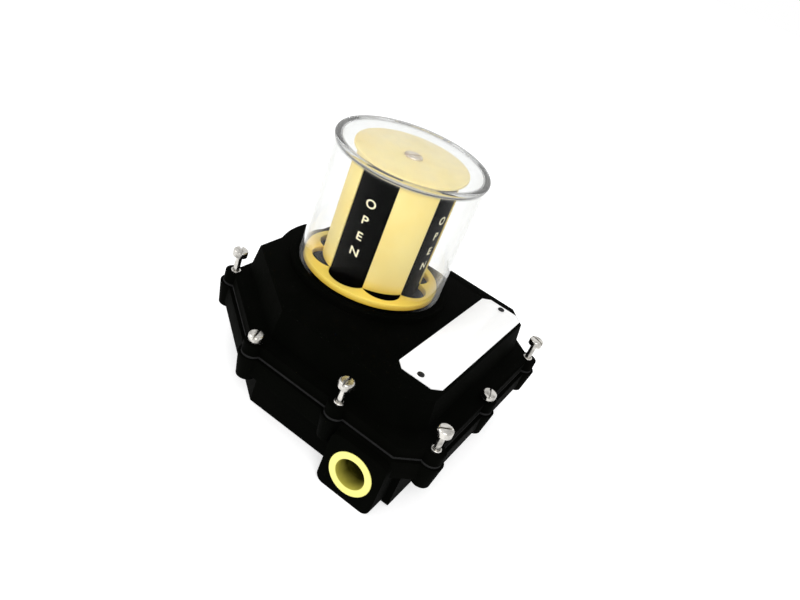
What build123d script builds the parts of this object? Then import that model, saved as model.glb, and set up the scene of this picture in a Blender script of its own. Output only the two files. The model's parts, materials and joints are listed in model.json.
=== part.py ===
"""Valve limit switch box: one STEP file per piece, millimetres, +Z up.

Origin: the drive shaft axis, on the plane of the mounting pads.
"""

import math
import os

from build123d import *

# ---- levels above the mounting pads ----
BODY_BOTTOM = 0.6
FLOOR_TOP = 5.0
LUG_BOTTOM = 17.0
RIM_BOTTOM = 20.0
RIM_TOP = 29.0
GASKET_T = 1.0
COVER_BOTTOM = RIM_TOP + GASKET_T
FLANGE_TOP = 35.0
PLATEAU_TOP = 49.0
COLLAR_TOP = 52.0
DOME_TOP = 113.3

# ---- screw line: the outline every other outline is offset from ----
LEFT_LINE = -70.5
FRONT_LINE = -79.7
RIGHT_LINE = 51.5
BACK_LINE = 45.7
BACK_LEFT_X = -39.9
LEFT_BACK_Y = 6.1
FRONT_LEFT_X = -59.2
FRONT_RIGHT_X = 36.8
RIGHT_FRONT_Y = -60.7
BACK_RIGHT_CUT = 10.0
LEFT_SCREW_Y = -38.9
RIGHT_SCREW_Y1 = -38.0
RIGHT_SCREW_Y2 = 4.0

# ---- housing and cover ----
WALL = 3.5
BODY_LEFT_INSET = 5.2
BODY_INSET = 6.0
RIM_OUTSET = 2.7
COVER_OUTSET = 1.0
COVER_WALL = 3.5
LUG_R_TOP = 5.8
LUG_R_BOTTOM = 4.2
EAR_R = 4.6
PLATEAU_LEFT = -61.5
PLATEAU_FRONT = -69.5
PLATEAU_RIGHT = 45.5
PLATEAU_BACK = 41.8
PLATEAU_BACK_LEFT_X = -31.7
PLATEAU_CUT = 9.0
PLATEAU_DRAFT = 8.0

# ---- cover screws ----
SCREW_HEAD_R = 3.4
SCREW_HEAD_H = 3.0
SCREW_SHANK_R = 1.45
SCREW_THREAD_R = 2.08
SCREW_THREAD_L = 6.0
SCREW_SHANK_L = 11.0
SCREW_LIFT = 8.0
SCREW_SLOT_W = 0.9
SCREW_SLOT_DEPTH = 1.3
SCREW_HEAD_EDGE = 0.9
HEAD_ROOM = 0.7
HEAD_ROOM_H = 9.0
THREAD_CLEARANCE = 0.05
LIFTED_SLOTS = (42.0, 8.0, -48.0, 71.0)
SEATED_SLOTS = (19.0, 20.0, -35.0, 60.0, 5.0)
COVER_HOLE_R = 2.3
COUNTERBORE_R = 2.7
COUNTERBORE_DEPTH = 5.0
RING_PROUD = 0.8
RING_SUNK = 1.2
RING_GAP = 0.08

# ---- conduit entry and plug ----
PORT_Y = -57.3
PORT_Z = 13.8
PORT_BOSS = 27.2
PORT_BOSS_CORNER = 4.0
PORT_FACE_X = -77.0
PLUG_R = 10.1
PLUG_CLEARANCE = 0.05
PLUG_CUP_R = 6.95
PLUG_PROUD = 0.6
PLUG_LENGTH = 15.0
PLUG_FLOOR = 1.6

# ---- mounting pads, 80 x 30 pattern about the shaft ----
PAD_DX = 80.0
PAD_DY = 30.0
PAD_R = 7.5
PAD_HOLE_R = 2.5
PAD_HOLE_DEPTH = 9.0
PAD_POST_R = 5.5
PAD_POST_TOP = 12.0
SWITCH_POST_R = 3.6

# ---- drive shaft and its bearings ----
SHAFT_R = 6.0
SHAFT_FOOT_R = 8.6
SHAFT_BOTTOM = 0.4
SHAFT_FOOT_TOP = 2.9
SHAFT_NECK_R = 5.0
SHAFT_TOP = 39.9
DRIVE_SLOT_W = 5.1
DRIVE_SLOT_DEPTH = 4.6
BEARING_BORE_R = 9.0
BEARING_BOSS_R = 13.0
BUSH_LOW_Z = 3.0
BUSH_L = 4.0
SEAL_SPACE = 3.0
RUNNING = 0.04
SEATED = 0.02
CLIP_T = 1.0
CLIP_R = 8.0
CLIP_GROOVE_R = 5.2
CLIP_PLAY = 0.05
CLIP_MOUTH = 2.4

# ---- gear train: 14 -> 21, 15 -> 20 turns the drum half as far as the shaft ----
MODULE = 1.0
SHAFT_TEETH = 14
LAY_IN_TEETH = 21
LAY_OUT_TEETH = 15
DRUM_TEETH = 20
LAY_DISTANCE = MODULE * (SHAFT_TEETH + LAY_IN_TEETH) / 2.0
LAY_ANGLE = 60.0
PRESSURE_ANGLE = 20.0
ADDENDUM = 0.85
DEDENDUM = 1.2
TOOTH_THINNING = 0.12
ROOT_STEP = 0.25
ROOT_SPREAD = 0.02
LOW_GEAR_Z = 35.6
GEAR_T = 4.0
HIGH_GEAR_Z = 45.8
LAY_SPINDLE_R = 2.5
LAY_COLLAR_R = 4.4
LAY_CLIP_R = 4.2
LAY_CLIP_T = 1.0
LAY_END = 0.6
SIDE_PLAY = 0.1
SUNK_JOIN = 0.2

# ---- dome and what is sized by it, from the middle outward ----
DOME_R = 35.0
DOME_WALL = 2.0
DOME_EDGE = 3.2
DOME_EDGE_IN = 2.2
DOME_FLANGE_W = 3.0
DOME_FLANGE_R = DOME_R + DOME_FLANGE_W
DOME_FLANGE_T = 2.5
DOME_SEAL_T = 1.0
DOME_SEAL_GAP = 0.05
DOME_HOLE_GAP = 0.25
COLLAR_W = 4.0
COLLAR_R = DOME_R + COLLAR_W
CARRIER_SCREW_R = 1.0
CARRIER_SCREW_HEAD_R = 2.1
CARRIER_SCREW_HEAD_H = 1.6
CARRIER_SCREW_GRIP = 4.0
CARRIER_SCREW_OUT = 1.4
CARRIER_SCREW_PITCH_R = DOME_FLANGE_R + CARRIER_SCREW_OUT
CARRIER_SCREW_DEG = 15.0
CARRIER_R = CARRIER_SCREW_PITCH_R + 2.2 * CARRIER_SCREW_R
CARRIER_GAP = 0.1
DOME_BOSS_WALL = 3.1
DOME_BOSS_R = CARRIER_R + CARRIER_GAP + DOME_BOSS_WALL

# ---- indicator ----
CARRIER_BOTTOM = 40.0
CARRIER_DOME_GAP = 0.8
CARRIER_WALL_T = 3.2
CARRIER_WALL_OUT = DOME_R - DOME_WALL - CARRIER_DOME_GAP
CARRIER_WALL_IN = CARRIER_WALL_OUT - CARRIER_WALL_T
WEB_BOTTOM = 42.5
WEB_TOP = 45.0
MASK_DOME_GAP = 0.7
MASK_RING_R = DOME_R - DOME_WALL - MASK_DOME_GAP
MASK_RING_T = 3.0
MASK_OUT_R = 22.7
MASK_IN_R = 21.2
MASK_PANEL_DEG = 45.0
MASK_CAP_R = 27.0
MASK_CAP_T = 2.6
SCALLOP_PITCH_R = 20.3
SCALLOP_R = 8.7
BEACON_HEADROOM = 5.9
POST_R = 3.0
POST_BOSS_R = 6.5
POST_BOTTOM = 40.8
POST_TOP = DOME_TOP - BEACON_HEADROOM
DRUM_R = 20.9
DRUM_WALL = 1.5
DRUM_BOTTOM = 50.8
DRUM_TOP_GAP = 0.6
DRUM_TOP = POST_TOP - DRUM_TOP_GAP
DRUM_PLATE_T = 2.0
DRUM_HUB_R = 6.0
DRUM_HUB_RISE = 6.0
CAP_SCREW_R = 1.95
CAP_SCREW_HEAD_R = 4.2
CAP_SCREW_HEAD_H = 2.0
CAP_SCREW_HEAD_EDGE = 0.6
CAP_SCREW_SUNK = 1.2
CAP_SCREW_L = 8.0
CAP_SCREW_SLOT_W = 1.1
CAP_SCREW_SLOT_DEPTH = 0.9
CAP_SCREW_SLOT_DEG = 150.0

# ---- cams, switches ----
CAM_T = 4.0
CAM_HUB_R = 9.5
CAM_HUB_T = 2.9
CAM_RUN_ON_DEG = 24.0
CAM_SPARE_DEG = 1.0
CAM_REST_R = 12.0
CAM_LOW_Z = 17.45
SWITCH_PITCH_Z = 11.1
SWITCH_X0 = -16.0
SWITCH_LEN = 27.8
SWITCH_FACE_Y = -19.5
SWITCH_DEPTH = 15.9
SWITCH_T = 10.3
SWITCH_LOW_Z = 14.3
SWITCH_HOLE_SPACING = 22.2
SWITCH_HOLE_INSET_X = 2.8
SWITCH_HOLE_INSET_Y = 2.8
SWITCH_SCREW_R = 1.5
SWITCH_SCREW_HEAD_R = 2.7
SWITCH_SCREW_HEAD_H = 1.8
SWITCH_HOLE_GAP = 0.1
CHEEK_R = 1.6
CHEEK_T = 1.5
CHEEK_GAP = 0.3
BLADE_X = (4.0, 13.5, 23.0)
BLADE_T = 0.8
BLADE_W = 4.6
BLADE_L = 6.5
PIVOT_X = -13.0
PIVOT_Y = -17.9
PIVOT_PIN_R = 0.8
LEVER_LEN = 14.7
LEVER_FREE_DEG = 9.4
LEVER_TRAVEL_DEG = 6.0
LEVER_T = 1.0
LEVER_W = 5.2
ROLLER_R = 2.4
ROLLER_W = 3.4
CAM_GAP = 0.06
SHAFT_TRAVEL_DEG = 90.0
PLUNGER_ARM = 5.0
PLUNGER_W = 1.6
PLUNGER_H = 3.2
PLUNGER_L = 3.2
PLUNGER_GAP = 0.06
PLUNGER_PLAY = 0.05
PLUNGER_WELL = 2.5
LEVER_BOSS_R = 1.4
LEVER_FORK_W = 0.8
LEVER_FORK_H = 2.4
LEVER_FORK_BACK = 4.0
LEVER_FORK_END = 1.2
SMALL_SLOT_W = 0.7
SMALL_SLOT_DEPTH = 0.9
SETSCREW_R = 1.0
SETSCREW_KEY_R = 0.45
SETSCREW_KEY_DEPTH = 1.2
SETSCREW_SUNK = 0.2

# ---- terminal strip ----
STRIP_X0 = -38.0
STRIP_PITCH = 8.0
STRIP_POLES = 8
STRIP_Y = -57.0
STRIP_W = 16.0
STRIP_H = 12.0
STRIP_ROW = 4.2
STRIP_BED = 3.0
STRIP_BARRIER_T = 1.2
STRIP_BARRIER_FOOT = 1.0
STRIP_FOOT_L = 7.2
STRIP_FOOT_W = 8.0
STRIP_FOOT_T = 3.0
STRIP_FOOT_OUT = 3.5
CLAMP_R = 1.6
CLAMP_HEAD_R = 2.5
CLAMP_HEAD_H = 1.8
CLAMP_HOLE = 5.0
CLAMP_L = 4.0
FOOT_SCREW_R = 1.5
FOOT_SCREW_GAP = 0.2
FOOT_SCREW_HEAD_R = 2.7
FOOT_SCREW_HOLE = 3.0
FOOT_SCREW_SUNK = 2.5
GROUND_X = -52.0
GROUND_Y = -28.0
GROUND_POST_R = 5.0
GROUND_POST_H = 4.0
GROUND_SCREW_R = 2.0
GROUND_SCREW_FOOT = 0.3
GROUND_WASHER_R = 4.2
GROUND_WASHER_T = 1.0
GROUND_HEAD_R = 3.4
GROUND_HEAD_H = 2.2

# ---- nameplate ----
PLATE_X = -3.5
PLATE_Y = -57.0
PLATE_L = 88.0
PLATE_W = 22.0
PLATE_T = 0.6
PLATE_CUT = 3.5
PLATE_PIN_R = 1.3
PLATE_PIN_HEAD_R = 1.6
PLATE_PIN_HEAD_H = 0.5
PLATE_PIN_HOLE = 2.5
PLATE_PIN_L = 2.3
PLATE_PIN_SPACING = 81.5
CUT = 1.0


# ---------------------------------------------------------------- helpers
def cyl(r, z0, z1, x=0.0, y=0.0):
    """Upright cylinder between two levels."""
    return Pos(x, y, z0) * Cylinder(r, z1 - z0, align=(Align.CENTER, Align.CENTER, Align.MIN))


def tube(r_out, r_in, z0, z1, x=0.0, y=0.0):
    """Upright ring between two levels."""
    return cyl(r_out, z0, z1, x, y) - cyl(r_in, z0 - CUT, z1 + CUT, x, y)


def block(x0, x1, y0, y1, z0, z1):
    """Box between six planes."""
    size = (x1 - x0, y1 - y0, z1 - z0)
    return Pos(x0, y0, z0) * Box(*size, align=(Align.MIN, Align.MIN, Align.MIN))


def prism(outline, z0, z1, taper=0.0):
    """Extrude a flat outline between two levels."""
    return extrude(Plane.XY.offset(z0) * outline, amount=z1 - z0, taper=taper)


def grown(outline, amount):
    """Outline moved outward by an amount, corners kept sharp."""
    return offset(outline, amount=amount, kind=Kind.INTERSECTION)


def slotted(head, x, y, top, width, depth, turn=0.0):
    """Head with a screwdriver slot right across its top."""
    reach = 2.0 * SCREW_HEAD_R
    slot = block(-reach, reach, -width / 2.0, width / 2.0, top - depth, top + CUT)
    return head - Pos(x, y) * Rot(0, 0, turn) * slot


def save(name, shape):
    """Write one piece, with its name, into the parts folder."""
    shape.label = name
    export_step(shape, "parts/" + name + ".step")


# ---------------------------------------------------------------- outlines
def screw_outline():
    """Flat shape whose edge runs through the cover screws."""
    lean = (LEFT_BACK_Y - BACK_LINE) / (LEFT_LINE - BACK_LEFT_X)
    front_left_cut = FRONT_LEFT_X - LEFT_LINE
    points = [
        (BACK_LEFT_X, BACK_LINE),
        (LEFT_LINE, BACK_LINE + lean * (LEFT_LINE - BACK_LEFT_X)),
        (LEFT_LINE, FRONT_LINE + front_left_cut),
        (FRONT_LEFT_X, FRONT_LINE),
        (FRONT_RIGHT_X, FRONT_LINE),
        (RIGHT_LINE, RIGHT_FRONT_Y),
        (RIGHT_LINE, BACK_LINE - BACK_RIGHT_CUT),
        (RIGHT_LINE - BACK_RIGHT_CUT, BACK_LINE),
    ]
    return Polygon(*points, align=None)


def body_outline():
    """Outer wall of the housing below its rim."""
    lean = (LEFT_BACK_Y - BACK_LINE) / (LEFT_LINE - BACK_LEFT_X)
    drop = BODY_INSET * math.hypot(1.0, lean)
    left = LEFT_LINE + BODY_LEFT_INSET
    back = BACK_LINE - BODY_INSET
    front = FRONT_LINE + BODY_INSET
    right = RIGHT_LINE - BODY_INSET
    points = [
        (BACK_LEFT_X + (drop - BODY_INSET) / lean, back),
        (left, LEFT_BACK_Y + lean * BODY_LEFT_INSET - drop),
        (left, front),
        (FRONT_RIGHT_X - BODY_INSET / 2.0, front),
        (right, RIGHT_FRONT_Y),
        (right, back - BACK_RIGHT_CUT),
        (right - BACK_RIGHT_CUT, back),
    ]
    return Polygon(*points, align=None)


def inner_outline():
    """Inside of the housing wall, which the gasket follows too."""
    return grown(body_outline(), -WALL)


def plateau_outline():
    """Top outline of the raised part of the cover."""
    lean = (BACK_LINE - LEFT_BACK_Y) / (BACK_LEFT_X - LEFT_LINE)
    left_y = PLATEAU_BACK + lean * (PLATEAU_LEFT - PLATEAU_BACK_LEFT_X)
    points = [
        (PLATEAU_BACK_LEFT_X, PLATEAU_BACK),
        (PLATEAU_LEFT, left_y),
        (PLATEAU_LEFT, PLATEAU_FRONT + PLATEAU_CUT),
        (PLATEAU_LEFT + PLATEAU_CUT, PLATEAU_FRONT),
        (PLATEAU_RIGHT - PLATEAU_CUT, PLATEAU_FRONT),
        (PLATEAU_RIGHT, PLATEAU_FRONT + PLATEAU_CUT),
        (PLATEAU_RIGHT, PLATEAU_BACK - PLATEAU_CUT),
        (PLATEAU_RIGHT - PLATEAU_CUT, PLATEAU_BACK),
    ]
    return Polygon(*points, align=None)


def lifted_screws():
    """Places of the cover screws that stand backed out."""
    return [
        (BACK_LEFT_X, BACK_LINE),
        (LEFT_LINE, LEFT_SCREW_Y),
        (FRONT_LEFT_X, FRONT_LINE),
        (FRONT_RIGHT_X, FRONT_LINE),
    ]


def seated_screws():
    """Places of the cover screws that are down."""
    return [
        (LEFT_LINE, LEFT_BACK_Y),
        ((FRONT_LEFT_X + FRONT_RIGHT_X) / 2.0, FRONT_LINE),
        (RIGHT_LINE, RIGHT_SCREW_Y1),
        (RIGHT_LINE, RIGHT_SCREW_Y2),
        (RIGHT_LINE - BACK_RIGHT_CUT / 2.0, BACK_LINE - BACK_RIGHT_CUT / 2.0),
    ]


def pad_places():
    """Centres of the four mounting holes."""
    return [(sx * PAD_DX / 2.0, sy * PAD_DY / 2.0) for sx in (-1, 1) for sy in (-1, 1)]


# ---------------------------------------------------------------- housing
def conduit_boss():
    """Square boss of the conduit entry, running back into the wall."""
    face = Plane(origin=(PORT_FACE_X, PORT_Y, PORT_Z), x_dir=(0, 1, 0), z_dir=(1, 0, 0))
    square = RectangleRounded(PORT_BOSS, PORT_BOSS, PORT_BOSS_CORNER)
    return extrude(face * square, amount=inside_left() - PORT_FACE_X)


def inside_left():
    """Inner face of the left wall."""
    return LEFT_LINE + BODY_LEFT_INSET + WALL


def along_x(r, x0, x1, y, z):
    """Cylinder lying along X."""
    turned = Rot(0, 90, 0) * Cylinder(r, x1 - x0, align=(Align.CENTER, Align.CENTER, Align.MIN))
    return Pos(x0, y, z) * turned


def switch_hole_places():
    """Centres of the two through holes of the stacked switches."""
    y = SWITCH_FACE_Y - SWITCH_DEPTH + SWITCH_HOLE_INSET_Y
    x = SWITCH_X0 + SWITCH_HOLE_INSET_X
    return [(x, y), (x + SWITCH_HOLE_SPACING, y)]


def bearing_top():
    """Top of the bearing boss and of the upper bushing."""
    return BUSH_LOW_Z + 2.0 * BUSH_L + SEAL_SPACE


def housing():
    """Cast lower body with rim, lugs, conduit boss, bearing boss and pads."""
    body = prism(body_outline(), BODY_BOTTOM, RIM_TOP)
    body += prism(grown(screw_outline(), RIM_OUTSET), RIM_BOTTOM, RIM_TOP)
    body += conduit_boss()
    for x, y in lifted_screws() + seated_screws():
        lug = Cone(LUG_R_BOTTOM, LUG_R_TOP, RIM_TOP - LUG_BOTTOM)
        body += Pos(x, y, (RIM_TOP + LUG_BOTTOM) / 2.0) * lug
    for x, y in pad_places():
        body += cyl(PAD_R, 0.0, BODY_BOTTOM + CUT, x, y)
    body -= prism(inner_outline(), FLOOR_TOP, RIM_TOP + CUT)
    body += cyl(BEARING_BOSS_R, FLOOR_TOP - CUT, bearing_top())
    for x, y in pad_places():
        body += cyl(PAD_POST_R, FLOOR_TOP - CUT, PAD_POST_TOP, x, y)
    for x, y in switch_hole_places():
        body += cyl(SWITCH_POST_R, FLOOR_TOP - CUT, SWITCH_LOW_Z, x, y)
    ground_top = FLOOR_TOP + GROUND_POST_H
    body += cyl(GROUND_POST_R, FLOOR_TOP - CUT, ground_top, GROUND_X, GROUND_Y)
    body -= cyl(BEARING_BORE_R, -CUT, bearing_top() + CUT)
    for x, y in pad_places():
        body -= cyl(PAD_HOLE_R, -CUT, PAD_HOLE_DEPTH, x, y)
    for x, y in switch_hole_places():
        body -= cyl(SWITCH_SCREW_R + SEATED, FLOOR_TOP, SWITCH_LOW_Z + CUT, x, y)
    body -= cyl(GROUND_SCREW_R + SEATED, FLOOR_TOP, ground_top + CUT, GROUND_X, GROUND_Y)
    for x, y in strip_screw_places():
        body -= cyl(FOOT_SCREW_R + SEATED, FLOOR_TOP - FOOT_SCREW_HOLE, FLOOR_TOP + CUT, x, y)
    for x, y in lifted_screws() + seated_screws():
        body -= cyl(SCREW_THREAD_R + THREAD_CLEARANCE, LUG_BOTTOM + CUT, RIM_TOP + CUT, x, y)
        body -= cyl(COUNTERBORE_R, RIM_TOP - COUNTERBORE_DEPTH, RIM_TOP + CUT, x, y)
    body -= along_x(PLUG_R + PLUG_CLEARANCE, PORT_FACE_X - CUT, inside_left() + CUT, PORT_Y, PORT_Z)
    return body


def cover_gasket():
    """Flat gasket between the housing rim and the cover."""
    ring = prism(grown(screw_outline(), COVER_OUTSET), RIM_TOP, COVER_BOTTOM)
    for x, y in lifted_screws() + seated_screws():
        ring += cyl(EAR_R, RIM_TOP, COVER_BOTTOM, x, y)
    ring -= prism(inner_outline(), RIM_TOP - CUT, COVER_BOTTOM + CUT)
    for x, y in lifted_screws() + seated_screws():
        ring -= cyl(COUNTERBORE_R, RIM_TOP - CUT, COVER_BOTTOM + CUT, x, y)
    return ring


# ---------------------------------------------------------------- cover
def cover():
    """Cast cover: eared flange, raised top, round boss and dome collar."""
    line = screw_outline()
    rise = PLATEAU_TOP - FLANGE_TOP
    foot = grown(plateau_outline(), rise * math.tan(math.radians(PLATEAU_DRAFT)))
    body = prism(grown(line, COVER_OUTSET), COVER_BOTTOM, FLANGE_TOP)
    for x, y in lifted_screws() + seated_screws():
        body += cyl(EAR_R, COVER_BOTTOM, FLANGE_TOP, x, y)
    body += prism(foot, FLANGE_TOP, PLATEAU_TOP, taper=PLATEAU_DRAFT)
    body += cyl(DOME_BOSS_R, COVER_BOTTOM, PLATEAU_TOP)
    body += cyl(COLLAR_R, PLATEAU_TOP, COLLAR_TOP)
    hollow = grown(plateau_outline(), -COVER_WALL)
    body -= prism(hollow, COVER_BOTTOM - CUT, PLATEAU_TOP - COVER_WALL)
    body += cyl(DOME_BOSS_R, WEB_BOTTOM, PLATEAU_TOP)
    body -= cyl(CARRIER_R + CARRIER_GAP, COVER_BOTTOM - CUT, WEB_BOTTOM)
    seat = WEB_BOTTOM + DOME_FLANGE_T + DOME_SEAL_T
    body -= cyl(DOME_FLANGE_R + DOME_HOLE_GAP, WEB_BOTTOM - CUT, seat)
    body -= cyl(DOME_R + DOME_HOLE_GAP, WEB_BOTTOM - CUT, COLLAR_TOP + CUT)
    for x, y in carrier_screw_places():
        top = WEB_BOTTOM + CARRIER_SCREW_GRIP + SIDE_PLAY
        body -= cyl(CARRIER_SCREW_R + SEATED, WEB_BOTTOM - CUT, top, x, y)
    for x, y in lifted_screws() + seated_screws():
        body -= cyl(COVER_HOLE_R, COVER_BOTTOM - CUT, FLANGE_TOP + CUT, x, y)
        body -= cyl(SCREW_HEAD_R + HEAD_ROOM, FLANGE_TOP, FLANGE_TOP + HEAD_ROOM_H, x, y)
    for x in plate_pin_places():
        foot_z = PLATEAU_TOP - PLATE_PIN_HOLE
        body -= cyl(PLATE_PIN_R + SEATED, foot_z, PLATEAU_TOP + CUT, x, PLATE_Y)
    return body


def cover_screw(x, y, lift, turn):
    """One captive slotted screw with a thinner shank above its thread."""
    under_head = FLANGE_TOP + RING_PROUD + lift
    thread_top = under_head - SCREW_SHANK_L
    top = under_head + SCREW_HEAD_H
    head = cyl(SCREW_HEAD_R, under_head, top, x, y)
    head = fillet(head.edges().group_by(Axis.Z)[-1], SCREW_HEAD_EDGE)
    head = slotted(head, x, y, top, SCREW_SLOT_W, SCREW_SLOT_DEPTH, turn)
    shank = cyl(SCREW_SHANK_R, thread_top, under_head, x, y)
    thread = cyl(SCREW_THREAD_R, thread_top - SCREW_THREAD_L, thread_top, x, y)
    return head + shank + thread


def retaining_rings():
    """Collars in the cover holes that keep the screws captive."""
    low = FLANGE_TOP - RING_SUNK
    high = FLANGE_TOP + RING_PROUD
    inner = SCREW_SHANK_R + RING_GAP
    outer = COVER_HOLE_R - SEATED
    rings = [tube(outer, inner, low, high, x, y) for x, y in lifted_screws() + seated_screws()]
    return Compound(children=rings)


# ---------------------------------------------------------------- nameplate
def plate_pin_places():
    """X places of the two nameplate pins."""
    return [PLATE_X - PLATE_PIN_SPACING / 2.0, PLATE_X + PLATE_PIN_SPACING / 2.0]


def nameplate():
    """Bare plate with clipped corners and two pin holes."""
    half_l = PLATE_L / 2.0
    half_w = PLATE_W / 2.0
    points = [
        (-half_l + PLATE_CUT, -half_w),
        (half_l - PLATE_CUT, -half_w),
        (half_l, -half_w + PLATE_CUT),
        (half_l, half_w - PLATE_CUT),
        (half_l - PLATE_CUT, half_w),
        (-half_l + PLATE_CUT, half_w),
        (-half_l, half_w - PLATE_CUT),
        (-half_l, -half_w + PLATE_CUT),
    ]
    outline = Pos(PLATE_X, PLATE_Y) * Polygon(*points, align=None)
    plate = prism(outline, PLATEAU_TOP, PLATEAU_TOP + PLATE_T)
    for x in plate_pin_places():
        plate -= cyl(PLATE_PIN_R + SEATED, PLATEAU_TOP - CUT, PLATEAU_TOP + PLATE_T + CUT, x, PLATE_Y)
    return plate


def nameplate_pins():
    """Two dark drive pins through the plate."""
    top = PLATEAU_TOP + PLATE_T
    pins = []
    for x in plate_pin_places():
        shank = cyl(PLATE_PIN_R, PLATEAU_TOP - PLATE_PIN_L, top, x, PLATE_Y)
        pins.append(shank + cyl(PLATE_PIN_HEAD_R, top, top + PLATE_PIN_HEAD_H, x, PLATE_Y))
    return Compound(children=pins)


# ---------------------------------------------------------------- conduit plug
def conduit_plug():
    """Hollow plug in the conduit entry, open to the outside."""
    start = PORT_FACE_X - PLUG_PROUD
    end = start + PLUG_LENGTH
    plug = along_x(PLUG_R, start, end, PORT_Y, PORT_Z)
    return plug - along_x(PLUG_CUP_R, start - CUT, end - PLUG_FLOOR, PORT_Y, PORT_Z)


# ---------------------------------------------------------------- shaft
def drive_shaft():
    """Shaft with slotted foot, clip groove and a neck for the gear."""
    shaft = cyl(SHAFT_R, SHAFT_FOOT_TOP, LOW_GEAR_Z)
    shaft += cyl(SHAFT_FOOT_R, SHAFT_BOTTOM, SHAFT_FOOT_TOP)
    shaft += cyl(SHAFT_NECK_R, LOW_GEAR_Z, SHAFT_TOP)
    slot_top = SHAFT_BOTTOM + DRIVE_SLOT_DEPTH
    half = DRIVE_SLOT_W / 2.0
    reach = SHAFT_FOOT_R + CUT
    shaft -= block(-half, half, -reach, reach, SHAFT_BOTTOM - CUT, slot_top)
    groove = clip_level()
    shaft -= tube(SHAFT_R + CUT, CLIP_GROOVE_R, groove, groove + CLIP_T + 2.0 * CLIP_PLAY)
    return shaft


def clip_level():
    """Underside of the groove for the clip that stops the shaft falling out."""
    return bearing_top() + CLIP_PLAY


def bushing(z0):
    """Plain bearing in the bearing boss."""
    return tube(BEARING_BORE_R - SEATED, SHAFT_R + RUNNING, z0, z0 + BUSH_L)


def shaft_seal():
    """O-ring between the two bushings."""
    mid = (SHAFT_R + BEARING_BORE_R) / 2.0
    minor = (BEARING_BORE_R - SHAFT_R) / 2.0 - RUNNING
    z = BUSH_LOW_Z + BUSH_L + SEAL_SPACE / 2.0
    return Pos(0, 0, z) * Torus(mid, minor)


def shaft_clip():
    """Open spring clip in the shaft groove."""
    z0 = clip_level() + CLIP_PLAY / 2.0
    z1 = z0 + CLIP_T
    clip = tube(CLIP_R, CLIP_GROOVE_R + SEATED, z0, z1)
    return clip - block(0.0, CLIP_R + CUT, -CLIP_MOUTH, CLIP_MOUTH, z0 - CUT, z1 + CUT)


# ---------------------------------------------------------------- gears
def flank_angle(r, pitch_r, teeth):
    """Half of one tooth's angle at a radius, in radians."""
    base_r = pitch_r * math.cos(math.radians(PRESSURE_ANGLE))
    at_pitch = math.pi / (2.0 * teeth) - TOOTH_THINNING / (2.0 * pitch_r)
    involute_pitch = math.tan(math.radians(PRESSURE_ANGLE)) - math.radians(PRESSURE_ANGLE)
    pressure = math.acos(min(1.0, base_r / max(r, base_r)))
    return at_pitch + involute_pitch - (math.tan(pressure) - pressure)


def gear(teeth, phase_deg, z0, bore_r, x=0.0, y=0.0):
    """Spur gear with involute flanks, one tooth centred at the phase angle."""
    pitch_r = MODULE * teeth / 2.0
    base_r = pitch_r * math.cos(math.radians(PRESSURE_ANGLE))
    root_r = pitch_r - DEDENDUM * MODULE
    tip_r = pitch_r + ADDENDUM * MODULE
    start_r = max(root_r + ROOT_STEP, base_r)
    radii = [start_r + (tip_r - start_r) * k / 3.0 for k in range(4)]
    points = []
    for tooth in range(teeth):
        centre = math.radians(phase_deg) + 2.0 * math.pi * tooth / teeth
        wide = flank_angle(start_r, pitch_r, teeth) + ROOT_SPREAD
        rising = [(root_r, -wide)] + [(r, -flank_angle(r, pitch_r, teeth)) for r in radii]
        falling = [(r, -a) for r, a in reversed(rising)]
        for r, a in rising + falling:
            points.append((x + r * math.cos(centre + a), y + r * math.sin(centre + a)))
    wheel = prism(Polygon(*points, align=None), z0, z0 + GEAR_T)
    return wheel - cyl(bore_r, z0 - CUT, z0 + GEAR_T + CUT, x, y)


def mating_phase(phase_deg, teeth, direction_deg, mate_teeth):
    """Phase that puts the mate's gap on this gear's tooth."""
    pitch = 360.0 / teeth
    part = ((direction_deg - phase_deg) / pitch) % 1.0
    return direction_deg + 180.0 + (part - 0.5) * 360.0 / mate_teeth


def lay_centre():
    """Place of the layshaft."""
    a = math.radians(LAY_ANGLE)
    return LAY_DISTANCE * math.cos(a), LAY_DISTANCE * math.sin(a)


def shaft_gear():
    """Small gear on the neck of the drive shaft."""
    return gear(SHAFT_TEETH, 0.0, LOW_GEAR_Z, SHAFT_NECK_R + SEATED)


def layshaft_gear():
    """Large lower gear of the layshaft."""
    x, y = lay_centre()
    phase = mating_phase(0.0, SHAFT_TEETH, LAY_ANGLE, LAY_IN_TEETH)
    return gear(LAY_IN_TEETH, phase, LOW_GEAR_Z, LAY_SPINDLE_R + SEATED, x, y)


def layshaft():
    """Spindle through the carrier web with the upper gear in one piece."""
    x, y = lay_centre()
    inner = LAY_SPINDLE_R - SUNK_JOIN
    spindle = cyl(LAY_SPINDLE_R, LOW_GEAR_Z - LAY_CLIP_T - LAY_END, HIGH_GEAR_Z + GEAR_T, x, y)
    spindle += tube(LAY_COLLAR_R, inner, LOW_GEAR_Z + GEAR_T, WEB_BOTTOM - SIDE_PLAY, x, y)
    spindle += tube(LAY_COLLAR_R, inner, WEB_TOP + SIDE_PLAY, HIGH_GEAR_Z, x, y)
    return spindle + gear(LAY_OUT_TEETH, LAY_ANGLE, HIGH_GEAR_Z, inner, x, y)


def layshaft_clip():
    """Washer clip under the lower gear of the layshaft."""
    x, y = lay_centre()
    return tube(LAY_CLIP_R, LAY_SPINDLE_R + SEATED, LOW_GEAR_Z - LAY_CLIP_T, LOW_GEAR_Z, x, y)


def drum_gear():
    """Gear on the hub of the indicator drum."""
    back = LAY_ANGLE + 180.0
    phase = mating_phase(LAY_ANGLE, LAY_OUT_TEETH, back, DRUM_TEETH)
    return gear(DRUM_TEETH, phase, HIGH_GEAR_Z, DRUM_HUB_R + SEATED)


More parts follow.
